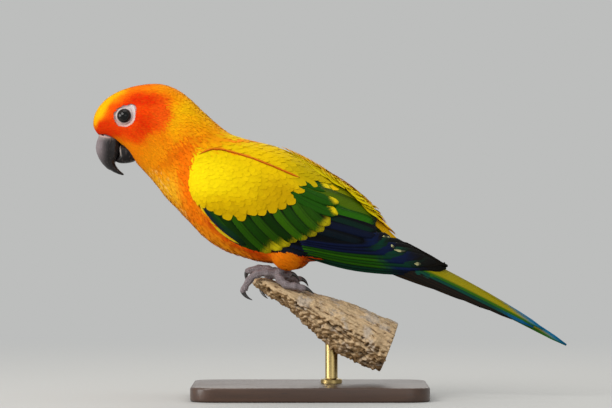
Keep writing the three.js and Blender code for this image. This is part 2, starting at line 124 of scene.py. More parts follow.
def addMap(mesh, name, perVertex):
    layer = mesh.uv_layers.new(name=name)
    index = np.zeros(len(mesh.loops), np.int32)
    mesh.loops.foreach_get("vertex_index", index)
    layer.data.foreach_set("uv", np.asarray(perVertex, np.float32)[index].ravel())


def pointsOf(thing):
    found = np.zeros(len(thing.data.vertices) * 3, np.float32)
    thing.data.vertices.foreach_get("co", found)
    return found.reshape(-1, 3).astype(float) / mm


def setPoints(thing, points):
    thing.data.vertices.foreach_set("co", np.asarray(points * mm, np.float32).ravel())
    thing.data.update()


def only(thing):
    bpy.ops.object.select_all(action="DESELECT")
    thing.select_set(True)
    bpy.context.view_layer.objects.active = thing


def finishWith(thing, kind, **settings):  # adds a modifier and applies it
    only(thing)
    modifier = thing.modifiers.new(kind.lower(), kind)
    for key, value in settings.items():
        setattr(modifier, key, value)
    bpy.ops.object.modifier_apply(modifier=modifier.name)


@contextmanager
def opened(thing):  # its mesh as a bmesh, put back at the end
    shape = bmesh.new()
    shape.from_mesh(thing.data)
    yield shape
    shape.to_mesh(thing.data)
    shape.free()


def copyNodes(name, names, swell=0.0):  # one mesh of several CAD nodes, each swollen a little
    joined = bmesh.new()
    for node in names:
        part = bmesh.new()
        part.from_mesh(nodes[node].data)
        bmesh.ops.remove_doubles(part, verts=part.verts, dist=2e-6)
        part.normal_update()
        for v in part.verts:
            v.co += v.normal * swell * mm
        loose = bpy.data.meshes.new("loose")
        part.to_mesh(loose)
        part.free()
        joined.from_mesh(loose)
        bpy.data.meshes.remove(loose)
    mesh = bpy.data.meshes.new(name)
    joined.to_mesh(mesh)
    joined.free()
    made = bpy.data.objects.new(name, mesh)
    scene.collection.objects.link(made)
    return made


def melt(thing, voxel, rounds):  # one smooth closed surface of all its shells
    finishWith(thing, "REMESH", mode="VOXEL", voxel_size=voxel * mm)
    finishWith(thing, "SMOOTH", factor=0.5, iterations=rounds)
    thing.data.polygons.foreach_set("use_smooth", np.ones(len(thing.data.polygons), bool))


def normalsOf(thing):
    found = np.zeros(len(thing.data.vertices) * 3, np.float32)
    thing.data.vertex_normals.foreach_get("vector", found)
    return found.reshape(-1, 3).astype(float)


class Thread:  # an output socket; maths on it adds the nodes
    def __init__(self, dye, socket):
        self.dye = dye
        self.socket = socket

    def maths(self, operation, *values):
        return self.dye.node("ShaderNodeMath", {"operation": operation}, values)

    def __add__(self, other):
        return self.maths("ADD", self, other)

    __radd__ = __add__

    def __sub__(self, other):
        return self.maths("SUBTRACT", self, other)

    def __rsub__(self, other):
        return self.maths("SUBTRACT", other, self)

    def __mul__(self, other):
        return self.maths("MULTIPLY", self, other)

    __rmul__ = __mul__

    def __truediv__(self, other):
        return self.maths("DIVIDE", self, other)

    def __pow__(self, other):
        return self.maths("POWER", self, other)


class Dye:  # one material and the nodes that are put in it
    def __init__(self, name, **fixed):
        self.material = bpy.data.materials.new(name)
        self.material.use_nodes = True
        self.tree = self.material.node_tree
        self.tree.nodes.clear()
        self.out = self.tree.nodes.new("ShaderNodeOutputMaterial")
        self.shader = self.tree.nodes.new("ShaderNodeBsdfPrincipled")
        self.tree.links.new(self.shader.outputs[0], self.out.inputs[0])
        for key, value in fixed.items():
            self.shader.inputs[key].default_value = value
        self.place = self.node("ShaderNodeTexCoord", {}, (), "Object")
        self.mmPlace = self.node("ShaderNodeVectorMath", {"operation": "SCALE"}, {0: self.place, "Scale": 1000.0})

    def node(self, kind, settings, inputs, output=0):
        made = self.tree.nodes.new(kind)
        for key, value in settings.items():
            if key == "stops":
                ramp = made.color_ramp
                while len(ramp.elements) < len(value):
                    ramp.elements.new(0.5)
                for element, (spot, colour) in zip(ramp.elements, value):
                    element.position = spot
                    element.color = (*colour, 1)
            else:
                setattr(made, key, value)
        pairs = inputs.items() if isinstance(inputs, dict) else enumerate(inputs)
        for key, value in pairs:
            if isinstance(value, Thread):
                self.tree.links.new(value.socket, made.inputs[key])
            elif isinstance(value, tuple) and len(value) == 3 and made.inputs[key].type == "RGBA":
                made.inputs[key].default_value = (*value, 1)
            else:
                made.inputs[key].default_value = value
        return Thread(self, made.outputs[output])

    def mix(self, share, first, second, blend="MIX"):
        settings = {"data_type": "RGBA", "blend_type": blend}
        return self.node("ShaderNodeMix", settings, {0: share, 6: first, 7: second}, 2)

    def soft(self, value, low, high, start=0.0, end=1.0):
        settings = {"interpolation_type": "SMOOTHSTEP"}
        return self.node("ShaderNodeMapRange", settings, (value, low, high, start, end))

    def speckle(self, size, detail=3.0, stretch=(1, 1, 1), roughness=0.55, vector=None):  # noise, size in mm
        scale = tuple(s / size for s in stretch)
        scaled = self.node("ShaderNodeVectorMath", {"operation": "MULTIPLY"}, (vector or self.mmPlace, scale))
        inputs = {"Vector": scaled, "Scale": 1.0, "Detail": detail, "Roughness": roughness}
        return self.node("ShaderNodeTexNoise", {}, inputs)

    def strands(self, x, y, z=0.0, detail=2.0):  # noise over a feather's own map
        place = self.node("ShaderNodeCombineXYZ", {}, (x, y, z))
        return self.node("ShaderNodeTexNoise", {}, {"Vector": place, "Scale": 1.0, "Detail": detail})

    def times(self, colour, share):  # one colour multiplied by another
        return self.mix(1.0, colour, share, "MULTIPLY")

    def colourOf(self, name):
        return self.node("ShaderNodeAttribute", {"attribute_name": name}, (), "Color")

    def numberOf(self, name):
        return self.node("ShaderNodeAttribute", {"attribute_name": name}, (), "Fac")

    def mapOf(self, name):
        return self.parts(self.node("ShaderNodeUVMap", {"uv_map": name}, ()))[:2]

    def parts(self, vector):
        made = self.node("ShaderNodeSeparateXYZ", {}, (vector,)).socket.node
        return [Thread(self, o) for o in made.outputs]

    def axes(self):  # x, y and z in mm
        return self.parts(self.mmPlace)

    def awayFrom(self, spotX, spotZ):  # distance in side view from a place, in mm
        x, y, z = self.axes()
        return ((x - spotX) ** 2 + (z - spotZ) ** 2) ** 0.5

    def bump(self, height, distance, strength=1.0):
        made = self.node("ShaderNodeBump", {}, {"Strength": strength, "Distance": distance * mm, "Height": height})
        self.tree.links.new(made.socket, self.shader.inputs["Normal"])

    def set(self, **threads):
        for key, thread in threads.items():
            self.tree.links.new(thread.socket, self.shader.inputs[key.replace("_", " ")])
        return self.material


view = {"centre": (-2.24, 0, 108.6), "distance": 1904, "lens": 200}
bpy.ops.object.camera_add(
    location=(view["centre"][0] * mm, -view["distance"] * mm, view["centre"][2] * mm),
    rotation=(math.pi / 2, 0, 0),
)
camera = bpy.context.object
camera.data.lens = view["lens"]
camera.data.sensor_width = 36
camera.data.clip_end = 100
scene.camera = camera

lamps = [  # place in metres, size, watts, colour
    ((-0.85, -0.9, 1.05), 0.8, 13.0, (1.0, 0.98, 0.95)),
    ((-1.35, -0.45, 0.3), 0.6, 7.0, (1.0, 0.98, 0.95)),
    ((0.5, -1.25, 0.28), 0.9, 2.6, (0.97, 0.99, 1.0)),
    ((0.2, 1.1, 0.95), 0.9, 6.0, (1.0, 0.97, 0.92)),
    ((0.0, 0.0, 1.5), 1.0, 3.5, (1.0, 1.0, 1.0)),
]
for spot, width, power, tint in lamps:
    bpy.ops.object.light_add(type="AREA", location=spot)
    lamp = bpy.context.object
    lamp.data.size = width
    lamp.data.energy = power
    lamp.data.color = tint
    lamp.rotation_euler = (Vector((0, 0, 0.11)) - Vector(spot)).to_track_quat("-Z", "Y").to_euler()

skyTint = (0.82, 0.83, 0.82)
world = bpy.data.worlds.new("studio")
scene.world = world
world.use_nodes = True
world.node_tree.nodes["Background"].inputs[0].default_value = (*skyTint, 1)
world.node_tree.nodes["Background"].inputs[1].default_value = 0.62

floorSize = {"radius": 8.0, "plain": 0.12, "faded": 0.9}
bpy.ops.mesh.primitive_circle_add(vertices=96, radius=floorSize["radius"], fill_type="NGON", location=(0, 0, 0))
floor = bpy.context.object
floor.name = "floor"
dye = Dye("pale_floor", Roughness=0.85)
x, y, z = dye.axes()
away = ((x * x + y * y) ** 0.5) * mm
grain = dye.speckle(3.0, 4.0)
dye.set(Base_Color=dye.mix(grain, linear("b4b4b0"), linear("bababa")))
glow = dye.node("ShaderNodeEmission", {}, {"Color": (*[c * 0.62 for c in skyTint], 1)})
faded = dye.soft(away, floorSize["plain"], floorSize["faded"])
blendOut = dye.node("ShaderNodeMixShader", {}, (faded, Thread(dye, dye.shader.outputs[0]), glow))
dye.tree.links.new(blendOut.socket, dye.out.inputs[0])
floor.data.materials.append(dye.material)
print("camera, light and floor ready")

# Soft patches of colour, seen from the side: middle x and z, half length, half width, turn in degrees, softness

markings = [
    ("body", "ee8a08", None),
    ("breast", "ee8006", (-62, 108, 34, 22, -50, 0.5)),
    ("throat", "f6b020", (-82, 123, 22, 7, -55, 0.5)),
    ("backYellow", "e6be08", (12, 126, 62, 26, -28, 0.35)),
    ("saddle", "f09c04", (-50, 143, 24, 10, -32, 0.5)),
    ("nape", "f4b004", (-68, 158, 13, 15, -45, 0.35)),
    ("napeBright", "f6bc06", (-74, 157, 7, 9, -30, 0.6)),
    ("lowNape", "ec9604", (-66, 147, 12, 8, -40, 0.6)),
    ("cheek", "f07a04", (-90, 142, 15, 12, -40, 0.5)),
    ("cheekEdge", "ee8c08", (-84, 134, 13, 8, -50, 0.6)),
    ("crown", "f87404", (-92, 172, 17, 11, 0, 0.4)),
    ("crownRear", "fa9404", (-79, 172, 8, 9, -40, 0.6)),
    ("mask", "f23c03", (-97, 157.5, 18.6, 11.6, 12, 0.34)),
    ("ear", "f24c0c", (-83, 159, 6, 9, 0, 0.5)),
    ("brow", "dc2402", (-95, 166, 12, 3.5, 14, 0.8)),
    ("lores", "dc2402", (-113, 149.5, 9, 6, 10, 0.5)),
    ("behindEye", "e02a03", (-93, 152, 5, 6, -30, 0.7)),
    ("belowEye", "e43404", (-100, 147.5, 9, 3.5, -24, 0.8)),
    ("foreheadBand", "fcbc08", (-119.4, 160, 4.0, 9.5, -24, 0.7)),
    ("crownBand", "fcb808", (-110, 170, 12, 3.6, 42, 0.6)),
    # painted shade: a darker orange line in the crease along the side of the neck
    ("fold", "d46002", (-71, 138, 14, 3.5, 36, 0.8)),
    # painted shade: a darker orange along the wing's front edge, where the wing meets the body
    ("shoulderShade", "f06a04", (-68, 120, 5, 20, 4, 0.8)),
    ("belly", "de5a04", (-34, 84, 34, 10, -14, 0.5)),
    ("bellyEdge", "f49010", (-52, 86, 24, 5, -36, 0.6)),
    ("flank", "d83404", (-34, 86, 26, 4, -26, 0.8)),
    ("vent", "a82406", (4, 78, 12, 5, 0, 0.6)),
    ("underTail", "8a8a10", (38, 76, 24, 7, 0, 0.5)),
    ("rump", "dcac06", (40, 100, 26, 10, -42, 0.4)),
    ("thigh", "d86c06", (-14, 76, 12, 9, 0, 0.5)),
    ("thighRear", "c84404", (0, 78, 5, 7, 0, 0.8)),
]
wingYellow = [  # the same, for the yellow feathers of the wing; some patches are painted light and shade
    ("wing", "e2c204", None),
    # painted highlight on the front of the coverts
    ("paintedFrontLight", "ecd208", (-57, 122, 12, 12, -60, 0.7)),
    # the next three are painted shade, darker on the lower and rear parts of the coverts
    ("lower", "d6b002", (-38, 104, 26, 8, -4, 0.6)),
    ("rear", "be9802", (-14, 112, 15, 13, 0, 0.8)),
    ("low", "c8a202", (-40, 102, 24, 4, -4, 0.8)),
    ("over", "e2bc04", (-16, 132, 32, 9, -24, 0.5)),
    ("overEdge", "f0a006", (-52, 143, 8, 5, -10, 0.8)),
    ("streak", "f08a10", (-37, 142.8, 13, 0.9, 2, 0.9)),
    ("backEnd", "bca406", (4, 124, 15, 8, -30, 0.7)),
]


def patch(points, spot):
    x, z, long, wide, turn, soft = spot
    c, s = math.cos(math.radians(turn)), math.sin(math.radians(turn))
    dx, dz = points[:, 0] - x, points[:, 2] - z
    out = np.hypot((dx * c + dz * s) / long, (dz * c - dx * s) / wide)
    return ease(1 + soft, 1 - soft, out)


def paint(points, patches=markings, wander=2.2):  # the colour of skin and coat at places in mm
    ragged = points.copy()
    ragged[:, 0] += wander * wobble(points, 5.0, 1)
    ragged[:, 2] += wander * wobble(points, 5.0, 2)
    colour = np.tile(linear(patches[0][1]), (len(points), 1)).astype(float)
    for name, code, spot in patches[1:]:
        share = patch(ragged, spot)[:, None]
        colour = colour * (1 - share) + np.array(linear(code)) * share
    return colour


skinShape = {"swell": 0.28, "voxel": 0.8, "rounds": 26, "coat": 1.1, "faceCoat": 0.7}
fleshNodes = ["head", "neck", "breast", "belly", "rump", "thigh_left", "thigh_right"]
wingNodes = [f"wing_{side}_{part}" for side in ("left", "right") for part in ("shoulder", "secondaries", "primaries")]
skin = copyNodes("skin", fleshNodes + wingNodes, skinShape["swell"])
melt(skin, skinShape["voxel"], skinShape["rounds"])
outline = pointsOf(skin) - normalsOf(skin) * skinShape["swell"]
setPoints(skin, outline)
skinNormals = normalsOf(skin)
guide = BVHTree.FromPolygons(
    [Vector(p) for p in outline], [tuple(p.vertices) for p in skin.data.polygons], all_triangles=False
)
print("skin faces", len(skin.data.polygons))

# How far the outline stands from the middle plane, as a smooth grid over the side view
grid = {"x": -132, "z": 58, "wide": 222, "high": 126}


def outwardGrid(tree, side, grid, blur=2):
    reach = np.full((grid["wide"], grid["high"]), np.nan)
    for i in range(grid["wide"]):
        for k in range(grid["high"]):
            start = Vector((grid["x"] + i, side * 80, grid["z"] + k))
            hit = tree.ray_cast(start, Vector((0, -side, 0)), 80)[0]
            if hit:
                reach[i, k] = abs(hit.y)
    for _ in range(30):  # carries the surface on past its edge, bending inwards
        pad = np.pad(reach, 1, constant_values=np.nan)
        around = np.stack([pad[a : a + reach.shape[0], b : b + reach.shape[1]] for a in range(3) for b in range(3)])
        with np.errstate(all="ignore"):
            near = np.nanmean(around, axis=0) - 0.45
        reach = np.where(np.isnan(reach), near, reach)
    reach = np.nan_to_num(reach, nan=0.5)
    for _ in range(blur):
        pad = np.pad(reach, 1, mode="edge")
        reach = sum(pad[a : a + reach.shape[0], b : b + reach.shape[1]] for a in range(3) for b in range(3)) / 9
    return reach


def readGrid(reach, grid, x, z):
    fx = np.clip(x - grid["x"], 0, reach.shape[0] - 1.001)
    fz = np.clip(z - grid["z"], 0, reach.shape[1] - 1.001)
    i, k = fx.astype(int), fz.astype(int)
    u, w = fx - i, fz - k
    low = reach[i, k] * (1 - u) + reach[i + 1, k] * u
    high = reach[i, k + 1] * (1 - u) + reach[i + 1, k + 1] * u
    return low * (1 - w) + high * w


np.seterr(all="ignore")
warnings.simplefilter("ignore")
wingReach = {side: outwardGrid(guide, side, grid) for side in (-1, 1)}
print("outline measured")


eyeShape = {"centre": (-103.3, 10.6, 157.6), "radius": 4.8, "opening": 3.85, "ring": 6.0, "corner": 2.3}


def ringReach(angle):  # the bare skin's outer edge, drawn out to a corner at the upper rear
    corner = np.exp(-((((angle - math.radians(48) + np.pi) % (2 * np.pi)) - np.pi) / 0.42) ** 2)
    low = np.exp(-((((angle + math.radians(105) + np.pi) % (2 * np.pi)) - np.pi) / 0.6) ** 2)
    return eyeShape["ring"] + eyeShape["corner"] * corner + 0.45 * low


def overEye(points, grow=0.0):  # true for places on the bare ring
    angle = np.arctan2(points[:, 2] - eyeShape["centre"][2], points[:, 0] - eyeShape["centre"][0])
    out = np.hypot(points[:, 2] - eyeShape["centre"][2], points[:, 0] - eyeShape["centre"][0])
    return (out < ringReach(angle) + grow) & (np.abs(points[:, 1]) > 6)


dye = Dye("wet_eye", Roughness=0.04, IOR=1.36)
across = dye.awayFrom(*eyeShape["centre"][::2])
streak = dye.speckle(0.5, 4.0)
iris = dye.mix(streak, linear("0c0908"), linear("2a221e"))
rimmed = dye.mix(dye.soft(across, 3.2, 3.9), iris, linear("0c0a09"))
dye.set(Base_Color=dye.mix(dye.soft(across, 2.5, 2.2), rimmed, linear("040404")))
eyeDye = dye.material

dye = Dye("bare_eye_skin", Roughness=0.5, **{"Subsurface Weight": 0.15, "Subsurface Radius": (0.002, 0.001, 0.0006)})
x, y, z = dye.axes()
across = dye.awayFrom(*eyeShape["centre"][::2])
under = dye.soft(z - eyeShape["centre"][2], 1.0, -5.5)
mottle = dye.speckle(0.7, 4.0)
base = dye.mix(mottle, linear("b9abab"), linear("ded2d0"))
base = dye.mix(under * 0.6, base, linear("cf9c8c"))
base = dye.mix(dye.soft(across, 4.35, 4.0) * 0.75, base, linear("6a5c58"))  # dark lid edge
dye.set(Base_Color=base)
rings = dye.node("ShaderNodeTexNoise", {}, {"Vector": dye.mmPlace, "Scale": 2.6, "Detail": 5.0})
dye.bump(rings + mottle * 0.4, 0.25, 0.8)
lidDye = dye.material

eyePieces = {}
for side, label in ((-1, "left"), (1, "right")):
    bpy.ops.object.select_all(action="DESELECT")
    middle = (eyeShape["centre"][0], side * eyeShape["centre"][1], eyeShape["centre"][2])
    bpy.ops.mesh.primitive_uv_sphere_add(
        segments=56, ring_count=36, radius=eyeShape["radius"] * mm, location=[c * mm for c in middle],
        rotation=(math.pi / 2, 0, 0),
    )
    ball = bpy.context.object
    ball.name = f"eyeball_{label}"
    bpy.ops.object.transform_apply(location=True, rotation=True, scale=True)
    spots = pointsOf(ball)
    out = np.hypot(spots[:, 0] - middle[0], spots[:, 2] - middle[2])
    front = np.sign(spots[:, 1] - middle[1]) == side
    spots[:, 1] += side * front * 0.35 * ease(3.4, 0.0, out)  # the cornea stands out a little
    setPoints(ball, spots)
    ball.data.polygons.foreach_set("use_smooth", np.ones(len(ball.data.polygons), bool))
    ball.data.materials.append(eyeDye)
    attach(ball, "root")
    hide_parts(f"eye_{label}")

    around, steps = 96, 16
    angle = np.linspace(0, 2 * np.pi, around, endpoint=False)
    rows = []
    for j in range(steps + 1):
        t = j / steps
        inner = eyeShape["opening"] - 0.25
        reach = inner + (ringReach(angle) + 0.7 - inner) * t
        px = middle[0] + reach * np.cos(angle)
        pz = middle[2] + reach * np.sin(angle)
        onBall = np.minimum(reach, eyeShape["opening"] + 0.15)
        ballY = eyeShape["centre"][1] + np.sqrt(eyeShape["radius"] ** 2 - onBall**2)
        headY = readGrid(wingReach[side], grid, px, pz) - 0.75
        lidY = ballY + 0.62 * math.exp(-(((t - 0.17) / 0.13) ** 2)) - 0.55 * (t < 0.02)
        share = ease(0.16, 0.75, t)
        py = lidY * (1 - share) + (headY - 0.5 * ease(0.75, 1.0, t)) * share
        fold = 0.07 * np.sin(angle * 23 + 9 * t) + 0.10 * np.sin(26 * t + 2.2 * np.sin(angle * 3))
        py += fold * ease(0.2, 0.45, t)
        rows.append(np.stack([px, side * py, pz], 1))
    places = np.concatenate(rows)
    faces = []
    for j in range(steps):
        a = j * around + np.arange(around)
        b = j * around + (np.arange(around) + 1) % around
        quad = np.stack([a, b, b + around, a + around], 1)
        faces.append(quad[:, ::-1] if side < 0 else quad)
    lid = makeObject(f"eye_ring_{label}", places, np.concatenate(faces), lidDye)
    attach(lid, "root")
print("eyes ready")


billShape = {"voxel": 0.3, "rounds": 10, "swell": 0.22}
dye = Dye("bill_horn", **{"Specular IOR Level": 0.3, "Coat Weight": 0.06, "Coat Roughness": 0.3})
x, y, z = dye.axes()
front = dye.soft(x, -112.5, -119.5)  # paler towards the ridge
worn = dye.speckle(2.2, 5.0, (1.0, 1.0, 0.35))
fine = dye.speckle(0.5, 4.0, (1.0, 1.0, 0.15))
tone = dye.mix(worn, linear("100e0e"), linear("221e1f"))
tone = dye.mix(front * dye.soft(z, 126, 140) * 0.85, tone, linear("86797c"))
tone = dye.mix(dye.soft(fine, 0.58, 0.7) * 0.35, tone, linear("8a7d78"))
tone = dye.mix(dye.soft(z, 143.5, 146.5) * 0.5, tone, linear("a3958f"))
dye.set(Base_Color=tone, Roughness=dye.soft(worn, 0.3, 0.7, 0.34, 0.52))
dye.bump(fine + worn * 1.5, 0.12, 0.6)
hornDye = dye.material

dye = Dye("lower_bill_horn", **{"Specular IOR Level": 0.2, "Coat Weight": 0.04, "Coat Roughness": 0.3})
x, y, z = dye.axes()
worn = dye.speckle(1.6, 5.0, (1.0, 1.0, 0.4))
line = dye.soft(((x + 105.9 + (z - 138.5) * 0.1) ** 2) ** 0.5, 0.55, 0.15) * dye.soft(z, 134.5, 137)
tone = dye.mix(worn, linear("0c0a0b"), linear("1c1819"))
tone = dye.mix(dye.soft(worn, 0.56, 0.66) * 0.3, tone, linear("7a6c66"))
tone = dye.mix(line * 0.7, tone, linear("a89c94"))
dye.set(Base_Color=tone, Roughness=dye.soft(worn, 0.3, 0.7, 0.36, 0.55))
dye.bump(worn + dye.speckle(0.5, 3.0), 0.1, 0.6)
lowerHornDye = dye.material

for label, material in (("upper", hornDye), ("lower", lowerHornDye)):
    half = copyNodes(f"horn_bill_{label}", [f"bill_{label}"], billShape["swell"])
    melt(half, billShape["voxel"], billShape["rounds"])
    spots = pointsOf(half)
    if label == "upper":  # a low ridge along the culmen and a hollow beside the cutting edge
        narrow = np.abs(spots[:, 1]) / 6.0
        spots[:, 0] -= 0.45 * ease(0.35, 0.0, narrow) * (spots[:, 0] < -112)
        hollow = np.exp(-(((spots[:, 0] + 110.5) / 1.6) ** 2)) * ease(146, 142, spots[:, 2])
        hollow = hollow * ease(131, 134, spots[:, 2])
        spots[:, 1] -= np.sign(spots[:, 1]) * 0.35 * hollow
    else:  # its upper edge reaches in under the upper half, so no light shows between them
        spots[:, 0] -= 1.9 * ease(-101.5, -104.0, spots[:, 0]) * ease(135, 139, spots[:, 2])
    setPoints(half, spots)
    half.data.materials.append(material)
    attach(half, "root")
    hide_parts(f"bill_{label}")

dye = Dye("cere_skin", Roughness=0.55, **{"Subsurface Weight": 0.15, "Subsurface Radius": (0.002, 0.001, 0.0006)})
mottle = dye.speckle(0.8, 4.0)
tone = dye.mix(mottle, linear("8c6a64"), linear("cdb2aa"))
hole = dye.awayFrom(-115.6, 147.6)
# the nostril is painted near-black: painted shade in its pit
dye.set(Base_Color=dye.mix(dye.soft(hole, 1.25, 0.6), tone, linear("1a0c0a")))
dye.bump(mottle, 0.15, 0.7)
cereDye = dye.material

around, ringSteps = 72, 14
rows = []
for k in range(around):
    a = -2.1 + 4.2 * k / (around - 1)
    centreX = -112.4 - 5.0 * math.cos(a)
    centreY = 5.7 * math.sin(a)
    centreZ = 146.9 - 1.1 * (1 - math.cos(a))
    size = 0.95 * (0.55 + 0.45 * math.cos(a / 2.1 * 1.4))
    pit = 0.9 * math.exp(-(((abs(a) - 0.93) / 0.16) ** 2))
    ring = []
    for j in range(ringSteps):
        b = 2 * math.pi * j / ringSteps
        facing = max(0, math.cos(b - 0.5))
        r = size * (1 + 0.22 * math.exp(-(((abs(a) - 0.93) / 0.34) ** 2))) - pit * facing**3
        out = r * math.cos(b)
        ring.append((centreX - out * math.cos(a), centreY + out * math.sin(a), centreZ + r * 0.95 * math.sin(b)))
    rows.append(ring)
places = np.array(rows).reshape(-1, 3)
faces = []
for k in range(around - 1):
    for j in range(ringSteps):
        n = (j + 1) % ringSteps
        faces.append((k * ringSteps + j, (k + 1) * ringSteps + j, (k + 1) * ringSteps + n, k * ringSteps + n))
cere = makeObject("cere", places, faces, cereDye)
with opened(cere) as shape:  # its two ends, inside the head, are closed
    bmesh.ops.holes_fill(shape, edges=[e for e in shape.edges if e.is_boundary])
    bmesh.ops.recalc_face_normals(shape, faces=shape.faces)
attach(cere, "root")
print("bill ready")


dye = Dye("coat_feather", Roughness=0.7, **{"Specular IOR Level": 0.03})
across, along = dye.mapOf("vane")
barbAcross, barbAlong = dye.mapOf("barb")
barbs = dye.strands(barbAcross * 60.0, barbAlong * 5.0)
tint = dye.colourOf("plume")
# a darker copy of the feather's colour, for painted shade at the root and for the barb streaks
shadeAndStreakTone = dye.times(tint, (0.84, 0.66, 0.5))
shaded = dye.mix(dye.soft(along, 0.5, 0.0) * 0.4, tint, shadeAndStreakTone)  # painted shade: darker at the hidden root, under the feathers that lie over it
shaded = dye.mix(dye.soft(barbs, 0.40, 0.62) * 0.26, shaded, shadeAndStreakTone)
dye.set(Base_Color=dye.mix(dye.soft(along, 0.6, 1.0) * 0.5, shaded, dye.times(shaded, (1.1, 1.12, 1.0))))
dye.bump(barbs, 0.06, 0.6)
coatDye = dye.material

dye = Dye("skin_down", Roughness=0.85, **{"Specular IOR Level": 0.03})
tuft = dye.speckle(0.9, 4.0)
tint = dye.colourOf("plume")
dye.set(Base_Color=dye.mix(tuft * 0.7, tint, dye.times(tint, (0.6, 0.45, 0.35))))
dye.bump(tuft, 0.5, 0.8)
skinDye = dye.material

dye = Dye("flight_feather", **{"Specular IOR Level": 0.07})
across, along = dye.mapOf("vane")
barbAcross, barbAlong = dye.mapOf("barb")
barbs = dye.strands(barbAcross * 1.5, barbAlong * 45.0, 0.0, 3.0)
ragged = dye.strands(barbAcross * 2.0, barbAlong * 34.0, 3.0, 3.0)
outer, inner, tip = dye.colourOf("outerWeb"), dye.colourOf("innerWeb"), dye.colourOf("tipTint")
tipStart, split = dye.numberOf("tipStart"), dye.numberOf("webSplit")
web = dye.mix(dye.soft(across - split + (ragged - 0.5) * 0.05, -0.09, 0.09), outer, inner)
edgeShade = dye.numberOf("edgeShade")
web = dye.mix(dye.soft(across, 0.12, 0.0) * edgeShade * 0.35, web, dye.times(web, (0.4, 0.4, 0.4)))
web = dye.mix(dye.soft(across, 0.74, 1.0) * edgeShade * 0.8, web, dye.times(web, (0.35, 0.35, 0.4)))
slant, endStart = dye.numberOf("tipSlant"), dye.numberOf("endStart")
reached = along + (ragged - 0.5) * 0.3 + slant * (across - 0.5)
web = dye.mix(dye.soft(reached - tipStart, -0.05, 0.09), web, tip)
web = dye.mix(dye.soft(along + (ragged - 0.5) * 0.3 - endStart, -0.05, 0.07), web, linear("11100e"))
shaft = dye.soft(((across - 0.4) ** 2) ** 0.5, 0.022, 0.008)
web = dye.mix(shaft * edgeShade * 0.55, web, linear("14120e"))
streaks = dye.soft(barbs, 0.35, 0.68)
web = dye.mix(streaks * 0.45, web, dye.times(web, (0.5, 0.5, 0.5)))
dye.set(Base_Color=web, Roughness=dye.soft(barbs, 0.3, 0.7, 0.42, 0.6))
dye.bump(barbs, 0.1, 0.6)
flightDye = dye.material

# x, z, the way a feather points in degrees (0 is back, 90 up), its length and its width, all in mm

layOfCoat = [
    (-120, 156, 68, 2.6, 0.93), (-117, 164, 52, 3, 1.1), (-108, 171, 30, 3.6, 1.2), (-95, 175.5, 8, 4.4, 1.5),
    (-82, 175, -8, 5, 1.7), (-72, 170, -32, 6, 2.1), (-61, 161, -45, 7.5, 2.5), (-48, 149, -36, 9, 4.2),
    (-30, 143, -14, 10.5, 6.5), (-12, 138, -20, 12, 7.5), (8, 126, -30, 13.5, 7.5), (25, 112, -38, 13.5, 6.5),
    (42, 96, -44, 12, 5), (-115, 149, 5, 2.2, 0.81), (-108, 146, -20, 2.4, 0.87), (-102, 148, -28, 2.6, 0.99),
    (-112, 156, 30, 2.4, 0.87), (-103, 166, 18, 2.8, 0.99), (-94, 158, -12, 3.2, 1.1), (-86, 160, -16, 4.2, 1.4),
    (-90, 145, -42, 4, 1.4), (-97, 134, -52, 3.2, 1.1), (-90, 126, -54, 4.6, 1.5), (-80, 135, -52, 6, 2),
    (-80, 115, -54, 7.5, 2.4), (-70, 128, -58, 8, 2.6), (-70, 108, -60, 9, 3), (-60, 94, -48, 9.5, 2.8),
    (-46, 84, -30, 9.5, 2.8), (-28, 79, -18, 9, 2.8), (-10, 75, -8, 7, 2.2), (14, 76, 0, 7, 2.6),
    (40, 76, -6, 9, 3), (-12, 82, -62, 6, 1.8), (-20, 77, -50, 6, 1.9), (-4, 76, -40, 6, 1.9),
    (-60, 118, -50, 7, 3.4), (-40, 118, -36, 8, 5.4),
    (-15, 110, -30, 9, 7), (20, 95, -24, 10, 6),
]
layTable = np.array(layOfCoat, float)


layOfWing = np.array(
    [(-66, 127, -98, 4.6, 3.4), (-62, 133, -66, 4.6, 3.2), (-56, 136, -40, 5.5, 3.4), (-65, 112, -76, 6, 4.4),
    (-60, 122, -78, 8, 5), (-50, 128, -66, 9, 5.5), (-50, 108, -64, 10, 6), (-34, 124, -52, 10, 6),
     (-28, 110, -54, 11, 6.6), (-18, 119, -44, 11, 6.4), (-10, 113, -42, 11, 6.6), (-54, 141, -4, 9, 2.6),
     (-42, 140.5, -12, 12, 3.2),
     (-28, 137, -21, 14, 4), (-12, 131, -25, 15, 4.6), (2, 125, -28, 15, 5.6), (10, 120, -30, 12, 6)],
    float,
)


def layAt(points, table=layTable):  # direction in side view, length and width at each place
    gapX = points[:, None, 0] - table[None, :, 0]
    gapZ = points[:, None, 2] - table[None, :, 1]
    away = gapX**2 + gapZ**2
    weight = np.exp(-(away - away.min(1, keepdims=True)) / (2 * 6.5**2))
    weight /= weight.sum(1, keepdims=True)
    turn = np.radians(table[:, 2])
    run = weight @ np.stack([np.cos(turn), np.sin(turn)], 1)
    size = weight @ table[:, 3:5]
    return run, size[:, 0], size[:, 1]


# Ring map of the body: the share of its length and the turn about its middle line
middleLine = np.array(
    [(-121, 148), (-110, 155), (-98, 153), (-84, 147), (-72, 133), (-58, 120), (-40, 112), (-18, 106), (4, 98),
    (24, 91), (42, 84), (60, 78), (80, 72)],
    float,
)


